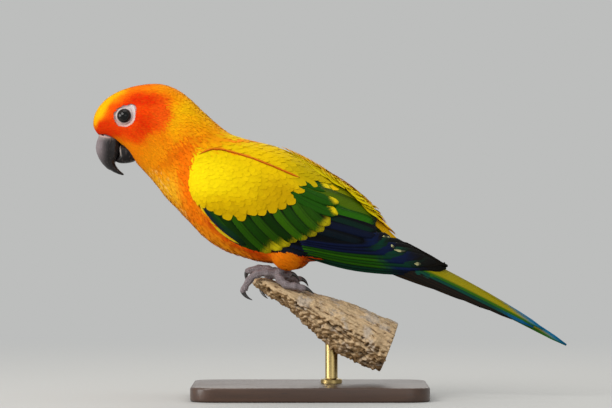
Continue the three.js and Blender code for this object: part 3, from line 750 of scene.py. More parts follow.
def unwrapOf(points):
    best = np.full(len(points), 1e9)
    share = np.zeros(len(points))
    rise = np.zeros(len(points))
    count = len(middleLine) - 1
    for i in range(count):
        a, b = middleLine[i], middleLine[i + 1]
        ahead = b - a
        t = np.clip(((points[:, [0, 2]] - a) @ ahead) / (ahead @ ahead), 0, 1)
        gapTo = points[:, [0, 2]] - (a + t[:, None] * ahead)
        far = (gapTo**2).sum(1)
        up = np.array([-ahead[1], ahead[0]]) / np.linalg.norm(ahead)
        closer = far < best
        best = np.where(closer, far, best)
        share = np.where(closer, (i + t) / count, share)
        rise = np.where(closer, gapTo @ up, rise)
    turn = np.arctan2(points[:, 1], rise) / (2 * np.pi) + 0.5
    return np.stack([0.01 + 0.98 * turn, 0.01 + 0.98 * share], 1)


coatForm = {
    "softness": 0.7, "spacing": 0.17, "candidates": 420000, "wingCandidates": 60000,
    "swing": 0.1, "curl": 0.06, "cup": 0.09, "patch": 0.003,
}
# A vane, as rows along its length: the share of its length, how far its sides fall back and the share of its
# width, the last two each rounded then pointed
vaneRows = np.array(
    [(0, 0, 0, 0.35, 0.3), (0.3, 0, 0, 0.82, 0.85), (0.56, 0.02, 0.02, 1, 1), (0.8, 0.05, 0.07, 0.97, 0.66),
    (1, 0.13, 0.09, 0.62, 0.2)]
)


def growCoat(name, roots, normals, run, length, width, lift, tuck, colour, blunt, columns=5, softness=None):
    softness = coatForm["softness"] if softness is None else softness
    across = np.linspace(-1, 1, columns)
    count, rows = len(roots), len(vaneRows)
    normals = unit(normals)
    ahead = inSpace(run)
    ahead -= normals * (ahead * normals).sum(1, keepdims=True)
    ahead = unit(ahead)
    sideways = np.cross(ahead, normals)
    swing = dice.normal(0, coatForm["swing"], count)[:, None] * (1.2 - blunt[:, None])
    ahead, sideways = ahead * np.cos(swing) + sideways * np.sin(swing), sideways * np.cos(swing) - ahead * np.sin(swing)
    spots = np.zeros((count, rows, columns, 3))
    vane = np.zeros((count, rows, columns, 2))
    barb = np.zeros((count, rows, columns, 2))
    want = np.zeros((count, rows, columns))
    curve = dice.normal(0, coatForm["curl"], count)
    offset = dice.random(count) * 50
    for r, (t, fallRound, fallPoint, rounded, pointed) in enumerate(vaneRows):
        for c, u in enumerate(across):
            tooth = (0.025 if c % 2 else -0.025) * (1 - blunt) * (r == rows - 1)
            fall = fallRound * blunt + fallPoint * (1 - blunt)
            reach = length * (t - fall * abs(u) ** 1.8 + tooth)
            share = rounded * blunt + pointed * (1 - blunt)
            aside = u * share * width / 2
            spots[:, r, c] = roots + ahead * reach[:, None] + sideways * (aside + curve * reach * t)[:, None]
            want[:, r, c] = -tuck * (1 - t) ** 1.5 + lift * t**1.4 - coatForm["cup"] * width * (u * share) ** 2
            vane[:, r, c] = ((u + 1) / 2, t)
            barb[:, r, c, 0] = aside * 0.1 + offset
            barb[:, r, c, 1] = reach * 0.1 + offset
    flat, rise = spots.reshape(-1, 3), want.ravel()
    soft = np.zeros_like(flat)
    for i, p in enumerate(flat):  # each place is brought to its own height over the outline
        hit, face, _, _ = guide.find_nearest(Vector(p))
        now = (Vector(p) - hit).dot(face)
        if i % (rows * columns) < columns:
            now = min(now, rise[i])
        flat[i] = p + np.array(face) * (rise[i] - now)
        soft[i] = face
    base = np.arange(count)[:, None, None] * rows * columns
    r, c = np.meshgrid(np.arange(rows - 1), np.arange(columns - 1), indexing="ij")
    corner = (r * columns + c)[None]
    quads = np.stack([base + corner, base + corner + 1, base + corner + columns + 1, base + corner + columns], -1)
    made = makeObject(name, flat, quads.reshape(-1, 4), coatDye)
    blended = normalsOf(made) * (1 - softness) + soft * softness
    made.data.normals_split_custom_set_from_vertices(unit(blended).tolist())
    addColour(made.data, "plume", np.repeat(colour, rows * columns, axis=0))
    patchPlace = unwrapOf(roots)[:, None, None, :] + (vane - 0.5) * coatForm["patch"]
    addMap(made.data, "OFBake", patchPlace.reshape(-1, 2))
    addMap(made.data, "vane", vane.reshape(-1, 2))
    addMap(made.data, "barb", barb.reshape(-1, 2))
    made.data.uv_layers["vane"].active_render = True
    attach(made, "root")
    print(name, count, "feathers", quads.size // 2, "triangles")


def scatter(places, spacing):  # keeps those no nearer than their spacing to one kept before
    kept, table = [], {}  # the table holds those kept, by cells of 1 mm
    for i, (p, gap) in enumerate(zip(places, spacing)):
        key = tuple(math.floor(v) for v in p)
        steps = range(-math.ceil(gap), math.ceil(gap) + 1)
        near = (
            places[j] for a in steps for b in steps for c in steps
            for j in table.get((key[0] + a, key[1] + b, key[2] + c), ())
        )
        if all((q[0] - p[0]) ** 2 + (q[1] - p[1]) ** 2 + (q[2] - p[2]) ** 2 >= gap * gap for q in near):
            kept.append(i)
            table.setdefault(key, []).append(i)
    return np.array(kept)


print("growing the coat")
faceCount = len(skin.data.polygons)
corners = np.zeros(faceCount * 4, np.int32)
areas = np.zeros(faceCount, np.float32)
skin.data.polygons.foreach_get("area", areas)
if not all(len(p.vertices) == 4 for p in skin.data.polygons):
    raise SystemExit("the skin has faces that aren't quads")
skin.data.loops.foreach_get("vertex_index", corners)
corners = corners.reshape(-1, 4)
centres = outline[corners].mean(1)
run, size, _ = layAt(centres)


def drawPlaces(weights, count):  # places on the outline, drawn by each face's weight, and their normals
    pick = dice.choice(faceCount, count, p=weights / weights.sum())
    mixA, mixB = dice.random(count)[:, None], dice.random(count)[:, None]
    quad = outline[corners[pick]]
    near = quad[:, 0] * (1 - mixA) + quad[:, 1] * mixA
    far = quad[:, 3] * (1 - mixA) + quad[:, 2] * mixA
    return near * (1 - mixB) + far * mixB, skinNormals[corners[pick]].mean(1)


candidates, bent = drawPlaces(areas / size**2, coatForm["candidates"])

# The wing's outside is left to its own feathers. Its edge in side view is a loop of places in mm
wingLoop = np.array(
    [(-67, 118), (-66, 127), (-61, 134.5), (-53, 138.5), (-36, 138.5), (-10, 134), (10, 121.5), (28, 108.5),
    (39, 97), (48, 87), (50.5, 95), (84, 78),
     (84, 66), (60, 68), (30, 71), (10, 75), (-2, 79), (-12, 82), (-26, 82), (-39.5, 87.5), (-49, 94), (-58, 103),
     (-63, 110)],
    float,
)


def insideLoop(points, loop):
    x, z = points[:, 0], points[:, 2]
    inside = np.zeros(len(points), bool)
    for i in range(len(loop)):
        x1, z1 = loop[i]
        x2, z2 = loop[(i + 1) % len(loop)]
        crosses = (z1 > z) != (z2 > z)
        edge = (x2 - x1) * (z - z1) / (z2 - z1 + 1e-9) + x1
        inside ^= crosses & (x < edge)
    return inside


bare = {"facing": 0.35, "tailX": 46, "gape": (-101, 146), "billX": -118, "under": (3, 85), "keel": 4.5}
x, y, z = candidates.T
sideways = np.abs(bent[:, 1]) > bare["facing"]
onWing = insideLoop(candidates, wingLoop) & (sideways | ((x > bare["tailX"]) & (bent[:, 2] > -0.6)))
billMouth = (x < bare["gape"][0]) & (z < bare["gape"][1]) & (z < bare["gape"][1] - (x - bare["billX"]) * 0.75)
underWing = (x > bare["under"][0]) & (z < bare["under"][1]) & (np.abs(y) > bare["keel"])
free = ~onWing & ~underWing & ~billMouth & ~overEye(candidates, 0.0)
candidates, bent = candidates[free], bent[free]
run, size, breadth = layAt(candidates)
kept = scatter(candidates.tolist(), (coatForm["spacing"] * size).tolist())
roots, bent, run, size, breadth = candidates[kept], bent[kept], run[kept], size[kept], breadth[kept]
reaching = inSpace(run) * size[:, None]
beside = inSpace(np.stack([-run[:, 1], run[:, 0]], 1)) * breadth[:, None]
x, y, z = roots.T
wingEdge = {"rear": 16, "top": 137, "low": 84, "front": (-56, 98), "frontShare": 0.72}
beneath = (x < wingEdge["rear"]) & (z < wingEdge["top"]) | (z < wingEdge["low"])
nearWing = beneath & (np.abs(bent[:, 1]) > bare["facing"])
atFront = (x < wingEdge["front"][0]) & (z > wingEdge["front"][1])
share = np.where(atFront, wingEdge["frontShare"], 1.0)[:, None]
crossing = nearWing & (
    insideLoop(roots + (reaching * 0.55 + beside * 0.45) * share, wingLoop)
    | insideLoop(roots + (reaching * 0.85 + beside * 0.45) * share, wingLoop)
)
backZone = {"front": -3, "halfWide": 9.5, "top": 128.5, "fall": 0.72, "bend": 0.006, "below": 4, "end": 53}
past = x - backZone["front"]
backLine = backZone["top"] - backZone["fall"] * past - backZone["bend"] * past**2 - backZone["below"]
alongBack = (x > backZone["front"]) & (np.abs(y) < backZone["halfWide"]) & (z > backLine)
onEye = overEye(roots + reaching * 0.9, -0.3) | overEye(roots + reaching * 0.45, -0.2)
clear = ~alongBack & (x + reaching[:, 0] < backZone["end"]) & ~onEye & ~crossing
roots, bent, run, size, breadth, reaching = (a[clear] for a in (roots, bent, run, size, breadth, reaching))


def plumeTone(places, patches, wander=2.2, spread=0.06):
    tone = np.clip(paint(places, patches, wander) * dice.normal(1, spread, len(places))[:, None], 0, 1)
    warmer = dice.random(len(places))[:, None] * 0.14 * spread / 0.06
    return tone * (1 - warmer) + np.array(linear("f8c020")) * warmer * tone.mean(1, keepdims=True) * 2.0


tone = plumeTone(roots + reaching * 0.6, markings)
pale = (patch(roots, (-81, 117, 14, 5.5, -58, 0.6)) > 0.3) & (dice.random(len(roots)) < 0.18)
tone[pale] = tone[pale] * 0.55 + np.array(linear("f8c468")) * 0.45  # pale streaks on the throat
ruffled = [  # where the coat stands out a little
    (-62, 164, 13, 3, -42, 0.6), (-82, 118, 22, 6, -55, 0.6), (-50, 84, 22, 6, -30, 0.6),
    (-4, 74, 10, 6, 0, 0.6), (36, 106, 24, 5, -44, 0.5),
]
ruffle = np.clip(sum(patch(roots, spot) for spot in ruffled), 0, 1) * dice.uniform(0.3, 1.0, len(roots))
regions = {"head": roots[:, 0] < -84, "neck": (roots[:, 0] >= -84) & (roots[:, 0] < -52), "trunk": roots[:, 0] >= -52}
for label, region in regions.items():
    for side, sideName in ((-1, "left"), (1, "right")):
        part = region & ((roots[:, 1] < 0) == (side < 0))
        long = size[part] * dice.uniform(0.85, 1.15, part.sum())
        wide = breadth[part] * dice.uniform(0.85, 1.15, part.sum())
        growCoat(
            f"coat_{label}_{sideName}", roots[part], bent[part], run[part], long, wide,
            0.007 * long + 0.02 + ruffle[part] * 0.05 * long, 0.024 * long + 0.05, tone[part],
            ease(-70, -20, roots[part, 0]) * ease(84, 100, roots[part, 2]) * 0.8,
        )

# The yellow feathers of the wing and its root. Loops in side view, in mm
covertLoop = np.array(
    [(-64.4, 110), (-59.6, 106.6), (-54.0, 105.4), (-50.0, 103.5), (-44.3, 101.9), (-36.3, 101.9), (-30.0, 104.0),
    (-24.3, 104.8),
     (-18.6, 106.2), (-13.4, 108.4), (-9.3, 111.0), (-6.3, 115.5), (-6.7, 122.0), (-28, 131.0), (-42, 135.4),
     (-53.2, 137.4),
     (-60, 135.2), (-65.0, 129), (-67.0, 119)],
    float,
)
scapularLoop = np.array(
    [(-52, 139.8), (-48, 140.2), (-42, 138.4), (-28, 134.0), (-5.6, 125.0), (3.0, 121.4), (8.4, 119.4),
    (10.6, 122.6), (12, 126), (2, 133),
     (-12, 139), (-24, 143), (-40, 146), (-47, 145.0)],
    float,
)
candidates, bent = drawPlaces(areas, coatForm["wingCandidates"])
edgeTips = [
    (-61.0, 108.8), (-58.6, 106.6), (-54.0, 103.9), (-50.0, 101.5), (-44.3, 98.9), (-36.3, 98.9), (-30.0, 102.0),
    (-24.3, 102.3),
    (-18.6, 103.7), (-13.4, 106.0), (-8.3, 108.6), (-4.3, 113.5), (-3.7, 118.0),
]
overTips = [(12.3, 120.4), (4.3, 118.5), (-1.5, 119.8), (-6.5, 122.4), (11.0, 124.4), (5.0, 122.0), (-14.0, 126.4)]


def fromTips(tips, side, long):
    tips = inSpace(np.array(tips, float))
    run = layAt(tips, layOfWing)[0]
    run = unit(run)
    start = tips - inSpace(run) * long
    start[:, 1] = side * readGrid(wingReach[side], grid, start[:, 0], start[:, 2])
    facing = np.array([np.array(guide.find_nearest(Vector(p))[1]) for p in start])
    return start, facing, run


for label, loop, tips, long, wide, lift in (
    ("coverts", covertLoop, edgeTips, 13.0, 8.6, 0.26), ("scapulars", scapularLoop, overTips, 18.0, 7.6, 0.42),
):
    inside = insideLoop(candidates, loop) & ((np.abs(bent[:, 1]) > 0.25) | (label == "scapulars"))
    places, facing = candidates[inside], bent[inside]
    run, size, breadth = layAt(places, layOfWing)
    run = unit(run)
    starts = places - inSpace(run) * size[:, None]
    kept = scatter(places.tolist(), (0.21 * size).tolist())
    for side, sideName in ((-1, "left"), (1, "right")):
        part = kept[(places[kept, 1] < 0) == (side < 0)]
        start = starts[part]
        for i in range(len(start)):
            spot = guide.find_nearest(Vector((start[i, 0], places[part[i], 1], start[i, 2])))
            start[i], facing[part[i]] = spot[0], spot[1]
        tipStart, tipFacing, tipRun = fromTips(tips, side, long)
        roots = np.concatenate([start, tipStart])
        shown = np.concatenate([places[part], inSpace(np.array(tips, float))])
        longs = np.concatenate([size[part] * dice.uniform(0.9, 1.1, len(part)), np.full(len(tips), long)])
        wides = np.concatenate([breadth[part] * dice.uniform(0.9, 1.1, len(part)), np.full(len(tips), wide)])
        growCoat(
            f"coat_{label}_{sideName}", roots,
            np.concatenate([facing[part], tipFacing]), np.concatenate([run[part], tipRun]), longs, wides,
            lift - 0.02 * np.arange(len(roots)) / len(roots), np.full(len(roots), 0.16),
            plumeTone(shown, wingYellow, 1.0, 0.025), np.full(len(roots), 0.95), 7, 0.85,
        )
backEdge = np.array(  # the back's outline in side view
    [(-10, 138.4), (-3.9, 135.6), (4.5, 131.0), (12.3, 126.3), (19.6, 121.9), (25.8, 118.0), (30.5, 114.8),
    (34.2, 110.6), (37, 106.0), (42, 99.4), (45.9, 93.8), (49.6, 88.2)]
)
backForm = {"rows": [0.7, 2.8, 5.0, 7.2], "long": 17.0, "wide": 4.6, "least": 0.35, "most": 3.4}
for side, sideName in ((-1, "left"), (1, "right")):
    tips, starts, runs, facing, lifts, tones = [], [], [], [], [], []
    for row, y in enumerate(backForm["rows"]):
        places = np.arange(0.0, 49.0, 2.6) + 1.3 * (row % 2)
        if row == 0:
            places = np.append(np.arange(-2.0, 31.0, 2.2), [32.8, 35.0, 37.6, 40.0, 42.0, 45.6, 49.4])
        for x in places:
            z = np.interp(x, backEdge[:, 0], backEdge[:, 1])
            after, before = (np.interp(x + gap, backEdge[:, 0], backEdge[:, 1]) for gap in (1.5, -1.5))
            slope = np.array([3.0, after - before])
            slope = slope / np.linalg.norm(slope)
            slope = slope * 0.5 + np.array([0.82, -0.57]) * 0.5
            top = guide.ray_cast(Vector((x, side * y, 200)), Vector((0, 0, -1)))[0]
            back = np.array([x, z]) - slope / np.linalg.norm(slope) * backForm["long"]
            foot = guide.ray_cast(Vector((back[0], side * y * 0.9, 200)), Vector((0, 0, -1)))
            if top is None or foot[0] is None or (row > 1 and x > 40):
                continue
            starts.append(foot[0])
            facing.append(foot[1])
            runs.append(slope / np.linalg.norm(slope))
            lifts.append(min(backForm["most"], max(backForm["least"], (z - 0.07 * y * y - top[2]) * 0.8)))
            tips.append((x, side * y, z))
            tones.append(("e4a804", "ecbc06", "dcc006", "d8c408")[row])
    lifts, many = np.array(lifts), len(tips)
    colour = np.array([linear(t) for t in tones]) * dice.normal(1, 0.05, many)[:, None]
    growCoat(
        f"coat_ridge_{sideName}", np.array(starts, float), np.array(facing, float), np.array(runs),
        np.full(many, backForm["long"]) * dice.uniform(0.95, 1.05, many), np.full(many, backForm["wide"]),
        lifts, 0.1 - lifts * 0.85, np.clip(colour, 0, 1), np.full(many, 0.3), 7, 0.95,
    )
print("coat ready")


depth = np.where(outline[:, 0] < -84, skinShape["faceCoat"], skinShape["coat"])
inset = outline - skinNormals * depth[:, None]
dished = overEye(outline, 0.2)
inset[dished, 1] -= np.sign(inset[dished, 1]) * 1.6
setPoints(skin, inset)
skin.data.materials.clear()
skin.data.materials.append(skinDye)
tone = paint(outline) * 0.85
wingMiddle = np.array([-8, 0, 104.0])
spread = wingMiddle + (outline - wingMiddle) * np.array([1.05, 1, 1.14])
onWing = insideLoop(outline, wingLoop) & insideLoop(spread, wingLoop) & (np.abs(skinNormals[:, 1]) > 0.3)
tone[onWing] = np.array(linear("101c08"))
tone[(outline[:, 0] > 49) & (outline[:, 2] > 66)] = np.array(linear("14120f"))
yellowed = insideLoop(outline, covertLoop) | insideLoop(outline, scapularLoop)
tone[yellowed] = np.array(linear("d8aa04"))
addColour(skin.data, "plume", tone)
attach(skin, "root")
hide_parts(*fleshNodes, *wingNodes)
print("skin ready")


featherForm = {
    "rows": 16, "columns": [-1.0, -0.7, -0.4, -0.22, -0.18, 0.1, 0.55, 1.0],
    "shaftAt": -0.2, "shaft": 0.06, "thick": 0.14,
}


def bendThrough(points, count):  # even places along a smooth line through a few points
    points = np.array(points, float)
    if len(points) == 2:
        points = np.array([points[0], points.mean(0), points[1]])
    t = np.linspace(0, 1, count)
    a, b, c = points[0], points[1], points[-1]
    if len(points) == 3:
        m = 2 * b - (a + c) / 2
        return (1 - t)[:, None] ** 2 * a + 2 * ((1 - t) * t)[:, None] * m + t[:, None] ** 2 * c
    spread = np.linspace(0, 1, len(points))
    return np.stack([np.interp(t, spread, points[:, k]) for k in range(2)], 1)


class Quiver:  # gathers long feathers into one mesh
    colours = {"outer": "outerWeb", "inner": "innerWeb", "tip": "tipTint"}
    numbers = {  # each with its usual value
        "tipStart": ("tipStart", 1.5), "split": ("webSplit", 0.5), "edge": ("edgeShade", 1.0),
        "slant": ("tipSlant", 0.0), "end": ("endStart", 2.0),
    }

    def __init__(self):
        self.spots, self.faces, self.vane, self.barb = [], [], [], []
        self.looks = {key: [] for key in (*self.colours, *self.numbers)}
        self.count = 0

    def feather(self, line, width, side, reachAt, low, high, tilt, look, taper=0.5, point=0.6, sharp=2.2, flat=0.0):
        rows, columns = featherForm["rows"], np.array(featherForm["columns"])
        path = bendThrough(line, rows)
        ahead = np.gradient(path, axis=0)
        ahead = unit(ahead)
        down = np.stack([ahead[:, 1], -ahead[:, 0]], 1)  # towards the leading, lower edge
        t = np.linspace(0, 1, rows)
        length = np.linalg.norm(np.diff(path, axis=0), axis=1).sum()
        rise = taper + (1 - taper) * ease(0, 0.45, t)
        roundOff = np.sqrt(np.clip(1 - np.clip((t - point) / (1.001 - point), 0, 1) ** sharp, 0, 1))
        half = width / 2 * rise * (0.08 + 0.92 * roundOff)
        across = -columns  # from the leading edge to the trailing one
        offset = across[None, :] * half[:, None]
        place = path[:, None, :] + down[:, None, :] * offset[:, :, None]
        fromShaft = np.abs(columns - featherForm["shaftAt"])
        height = low + (high - low) * t[:, None] + tilt * across[None, :] - 0.05 * width * fromShaft[None, :] ** 2
        ridge = np.where(fromShaft < 0.03, featherForm["shaft"], 0)[None, :]
        reached = reachAt(place[..., 0], place[..., 1])
        if flat:  # less draped over the wing's edge
            reached = reached * (1 - flat) + reachAt(path[:, 0], path[:, 1])[:, None] * flat
        place3 = reached + height + ridge
        top = np.stack([place[..., 0], side * place3, place[..., 1]], -1)
        back = np.stack([place[..., 0], side * (place3 - featherForm["thick"]), place[..., 1]], -1)
        n = rows * len(columns)
        grid2 = np.arange(n).reshape(rows, len(columns)) + self.count
        quads = np.stack([grid2[:-1, :-1], grid2[:-1, 1:], grid2[1:, 1:], grid2[1:, :-1]], -1).reshape(-1, 4)
        under = quads[:, ::-1] + n
        edge = np.concatenate([grid2[0, :-1], grid2[:-1, -1], grid2[-1, :0:-1], grid2[:0:-1, 0]])
        nextEdge = np.roll(edge, -1)
        wall = np.stack([edge, edge + n, nextEdge + n, nextEdge], -1)
        faces = np.concatenate([quads, under, wall])
        if side < 0:
            faces = faces[:, ::-1]
        self.faces.append(faces)
        for layer in (top, back):
            self.spots.append(layer.reshape(-1, 3))
            share = np.broadcast_to((columns + 1) / 2, (rows, len(columns)))
            self.vane.append(np.stack([share, np.broadcast_to(t[:, None], share.shape)], -1).reshape(-1, 2))
            gap = fromShaft[None, :] * half[:, None]
            alongBarb = (t * length)[:, None] - 1.1 * gap
            self.barb.append(np.stack([gap * 0.1 + (self.count // 7) % 89, alongBarb * 0.1], -1).reshape(-1, 2))
        for key in self.colours:
            self.looks[key].append(np.tile(look[key], (2 * n, 1)))
        for key, (_, usual) in self.numbers.items():
            self.looks[key].append(np.full(2 * n, look.get(key, usual)))
        self.count += 2 * n

    def build(self, name, slotName, replaced=()):
        made = makeObject(name, np.concatenate(self.spots), np.concatenate(self.faces), flightDye)
        for key, layer in self.colours.items():
            addColour(made.data, layer, np.concatenate(self.looks[key]))
        for key, (layer, _) in self.numbers.items():
            addNumber(made.data, layer, np.concatenate(self.looks[key]))
        addMap(made.data, "vane", np.concatenate(self.vane))
        addMap(made.data, "barb", np.concatenate(self.barb))
        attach(made, "root")
        if replaced:
            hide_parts(*replaced)
        print(name, len(made.data.polygons) * 2, "triangles")


def bowed(root, tip, rise):  # a line raised at its middle, in mm
    return [root, ((root[0] + tip[0]) / 2, (root[1] + tip[1]) / 2 + rise), tip]


def shade(code, change=0.0):  # a plumage colour, a little lighter or darker
    return tuple(c * (1 + change) for c in linear(code))


def plume(outer, inner, tip, **rest):  # a long feather's look. A colour is a code, or a code and a change
    outer, inner, tip = (shade(*c) if isinstance(c, tuple) else shade(c) for c in (outer, inner, tip))
    return {"outer": outer, "inner": inner, "tip": tip, **rest}


def wingFeathers(side):
    reach = wingReach[side]
    reachAt = lambda x, z: readGrid(reach, grid, x, z)
    own = random.Random(11 + side)
    jig = lambda amount: own.uniform(-amount, amount)
    quiver = Quiver()

    # primaries, from the inner one down to the leading one
    tips = [
        (44.5, 90.5), (52.2, 86.8), (58.6, 83.4), (63.6, 80.4), (68.0, 77.6), (71.6, 75.4), (74.0, 74.2),
        (75.4, 73.4), (76.2, 73.0),
    ]
    for i, (tipX, tipZ) in enumerate(tips):
        root = (-6 + 0.6 * i, 91 - 1.25 * i)
        middle = (24 + 1.2 * i, 88.4 - 1.82 * i)
        line = [root, middle, (tipX + jig(0.5), tipZ + jig(0.2))]
        look = plume(
            (("2c6404", "1c5008")[i % 2], jig(0.2)), "050806", (("0c1c44", "0a3426")[i % 2], jig(0.2)),
            tipStart=0.64, split=0.19, end=0.84,
        )
        if i < 3:
            look["outer"] = shade("0c1638", jig(0.2))
            look["inner"] = shade("05070e")
            look["end"] = 0.8
        if i > 6:
            look["outer"] = shade("083420", jig(0.2))
            look["tip"] = shade("0a1024")
        quiver.feather(line, 7.4, side, reachAt, -0.95 - 0.07 * i, 0.15 - 0.07 * i, 0.2, look, 0.7, 0.78, 2.2, 0.7)

    # worn pale ends
    for x, z, long, turn in (
        (41.0, 91.2, 4.6, -24), (44.0, 90.0, 2.6, -60), (48.4, 87.4, 3.2, -40), (50.0, 82.8, 6.4, -6),
        (46.0, 85.4, 3.0, -70), (60.0, 75.2, 3.8, -4),
    ):
        c, s = math.cos(math.radians(turn)) * long / 2, math.sin(math.radians(turn)) * long / 2
        look = plume("bcb884", "8e8c64", "4c4c38", tipStart=0.6, split=0.5, edge=0.2)
        quiver.feather([(x - c, z - s), (x + c, z + s)], 1.9, side, reachAt, 0.05, 0.35, 0.05, look, 0.2, 0.4)

    # primary coverts, blue-black
    for root, tip, width, code in (
        ((-30, 87), (-1.4, 81.0), 7.6, "080e1a"), ((-26, 90), (4.4, 81.6), 7.2, "0a1228"), ((-14, 92),
        (22.0, 84.6), 8.6, "080a16"),
        ((-8, 98), (30, 88.0), 7.6, "07121a"), ((-4, 102), (38.0, 91.4), 8.4, "081026"), ((2, 105),
        (37.0, 94.2), 7.0, "082018"),
    ):
        look = plume((code, 0.3), "05070c", "06070c", tipStart=0.93, split=0.5)
        quiver.feather(bowed(root, tip, 0.8), width, side, reachAt, -0.7, 0.0, 0.14, look, 0.7, 0.75)

    # green greater coverts, their tips in a curve; the later ones end in yellow
    tipLine = bendThrough([
        (-38.6, 87.0), (-33, 84.0), (-26.5, 81.8), (-19.4, 82.2), (-13, 84.4), (-9.4, 87.4), (-3.6, 88.8),
        (2.2, 91.0), (7.2, 93.4), (10.8, 97.4),
    ], 11)
    rootLine = bendThrough([
        (-60.5, 111), (-56, 110), (-50, 110), (-44, 110), (-38, 110), (-31, 111), (-24, 113), (-18, 115),
        (-12, 118), (-8, 121),
    ], 11)
    greens = "0c3010 1e4802 143a02 2c5e02 163e02 2a5602 123602 305c02 1a4402 305c02 224c02".split()
    for i in range(11):
        start = [1.5, 1.4, 1.15, 0.9, 0.8, 0.82, 0.93, 0.93, 0.9, 0.9, 0.86][i]
        look = plume((greens[i], jig(0.2)), "061404", ("b8a80a", jig(0.1)), tipStart=start, split=0.52)
        tip = tipLine[i] + np.array([jig(0.4), jig(0.4)])
        root = rootLine[i]
        middle = (root + tip) / 2 + np.array([-1.2, -1.2])
        wide = (5.2, 7.8)[i] if i < 2 else 9.4
        quiver.feather([root, middle, tip], wide, side, reachAt, -0.5 + 0.02 * i, 0.15 + 0.03 * i, 0.2, look, 0.6, 0.66)

    # the narrow dark leading feather with its yellow edge
    look = plume("0e2430", "12381c", "0e2a10", tipStart=0.8, split=0.4)
    quiver.feather([(-60.6, 112.0), (-50.4, 97.6), (-35.5, 85.6)], 5.4, side, reachAt, -0.4, 0.5, 0.12, look, 0.4, 0.7)
    look = plume("e8c814", "d8b410", "b8b020", tipStart=0.95, split=0.5, edge=0.1)
    quiver.feather([(-62.0, 111.6), (-54.2, 97.8), (-39.6, 86.6)], 1.5, side, reachAt, -0.3, 0.66, 0.0, look, 0.5, 0.6)

    # tertials, with olive middles and dark edges
    for root, middle, tip, width, outer, inner, end, rise in (
        ((-4, 108), (18, 102), (36.5, 97.0), 9.0, "145004", "266006", "050e0a", -0.35),
        ((-6, 116.0), (13, 110.2), (37.2, 99.0), 11.5, "1c6806", "4c6604", "060c10", 0.1),
        ((-4, 121), (13, 116.4), (33.0, 106.4), 7.4, "246406", "88900a", "2c4006", -0.25),
        ((-6, 121.5), (9.6, 118.4), (25.4, 112.8), 7.0, "3c5c06", "a09808", "d0b80c", -0.1),
    ):
        look = plume((outer, jig(0.1)), (inner, jig(0.1)), end, tipStart=0.92, split=0.42)
        quiver.feather([root, middle, tip], width, side, reachAt, rise - 0.5, rise, 0.12, look, 0.7, 0.7, 2.2, 0.35)

    # upper secondaries and their coverts with yellow corners
    for root, tip, width, start in (
        ((-17, 119), (15.4, 102.8), 7.6, 0.9), ((-16, 123.5), (15.8, 109.2), 8.4, 0.88),
        ((-12, 126), (11.4, 116.8), 6.5, 0.84),
    ):
        look = plume(("1e5004", jig(0.1)), "0a2e06", "ecd008", tipStart=start, split=0.7, slant=0.26)
        quiver.feather(bowed(root, tip, -0.6), width, side, reachAt, -0.3, 0.62, 0.14, look, 0.7, 0.66)

    # the orange line between the coverts and the feathers over the back: the orange edge of the lowest of them, with
    # painted shadow in its darker lower web
    for k in range(6):
        piece = orangeEdgeAndShadow[k * 9 : k * 9 + 15]
        look = plume("b84802", "e08206", "d07406", tipStart=0.9, split=0.45, edge=0.4)
        quiver.feather([piece[0], piece[7], piece[-1]], 1.2, side, reachAt, 0.32, 0.6, 0.0, look, 0.25, 0.6)
    # a dark green strip in the gap between two of them: the green beneath, darkened with painted shade
    look = plume("20340a", "20340a", "4a5008", tipStart=0.8, split=0.5)
    quiver.feather([(-3.4, 131.4), (1.7, 129.0), (6.0, 127.6)], 1.1, side, reachAt, 0.8, 0.95, 0.0, look, 0.3, 0.4)
    return quiver


# the path of the orange edge with its painted shadow
orangeEdgeAndShadow = bendThrough([
    (-61.6, 136.1), (-57, 138.4), (-53.2, 139.4), (-47, 138.6), (-42, 137.2), (-35, 135.2), (-28, 132.7),
    (-17, 128.2), (-5.6, 123.2),
], 60)


for side, label in ((-1, "left"), (1, "right")):
    wingFeathers(side).build(f"flight_feathers_{label}", "plumage_wing_green")
print("wings ready")


tailGrid = {"x": 36, "z": 20, "wide": 114, "high": 74}
tailReach = {}
for side, label in ((-1, "left"), (1, "right")):
    half = copyNodes("tail_guide", [f"tail_{label}"])
    tree = BVHTree.FromPolygons([Vector(p) for p in pointsOf(half)], [tuple(p.vertices) for p in half.data.polygons])
    tailReach[side] = outwardGrid(tree, side, tailGrid, 3)
    bpy.data.objects.remove(half)

for side, label in ((-1, "left"), (1, "right")):
    own = random.Random(31 + side)
    reachAt = lambda x, z, side=side: readGrid(tailReach[side], tailGrid, x, z)
    quiver = Quiver()
    ends = [(143.6, 29.6), (125, 39.8), (113, 44.4), (100, 49.6), (87, 54.8), (73, 60.6)]
    if side < 0:
        ends[0] = (130.6, 38.6)
    for i in range(5, -1, -1):
        tip = ends[i]
        root = (40, 83 - 1.5 * i)
        middle = ((root[0] + tip[0]) / 2 - 2, (root[1] + tip[1]) / 2 + 3.2 - 0.5 * i)
        width = 9.5 - 0.5 * i
        if i == 0:
            look = plume("2a5c10", "948808", "0a6c98", tipStart=0.88, split=0.38, edge=0.4, slant=0.26)
        elif i == 1:
            look = plume("0c4034", "4c600a", "0a5480", tipStart=0.8, split=0.5, slant=0.1)
        else:
            look = plume("22180e", "10100e", "14100c", tipStart=0.85, split=0.3)
        rise, line = 0.1 * (5 - i), [root, middle, tip]
        quiver.feather(line, width, side, reachAt, rise - 0.9, rise - 0.5, 0.12, look, 0.8, 0.25, 0.75)
    quiver.build(f"tail_feathers_{label}", "plumage_tail", [f"tail_{label}"])
print("tail ready")


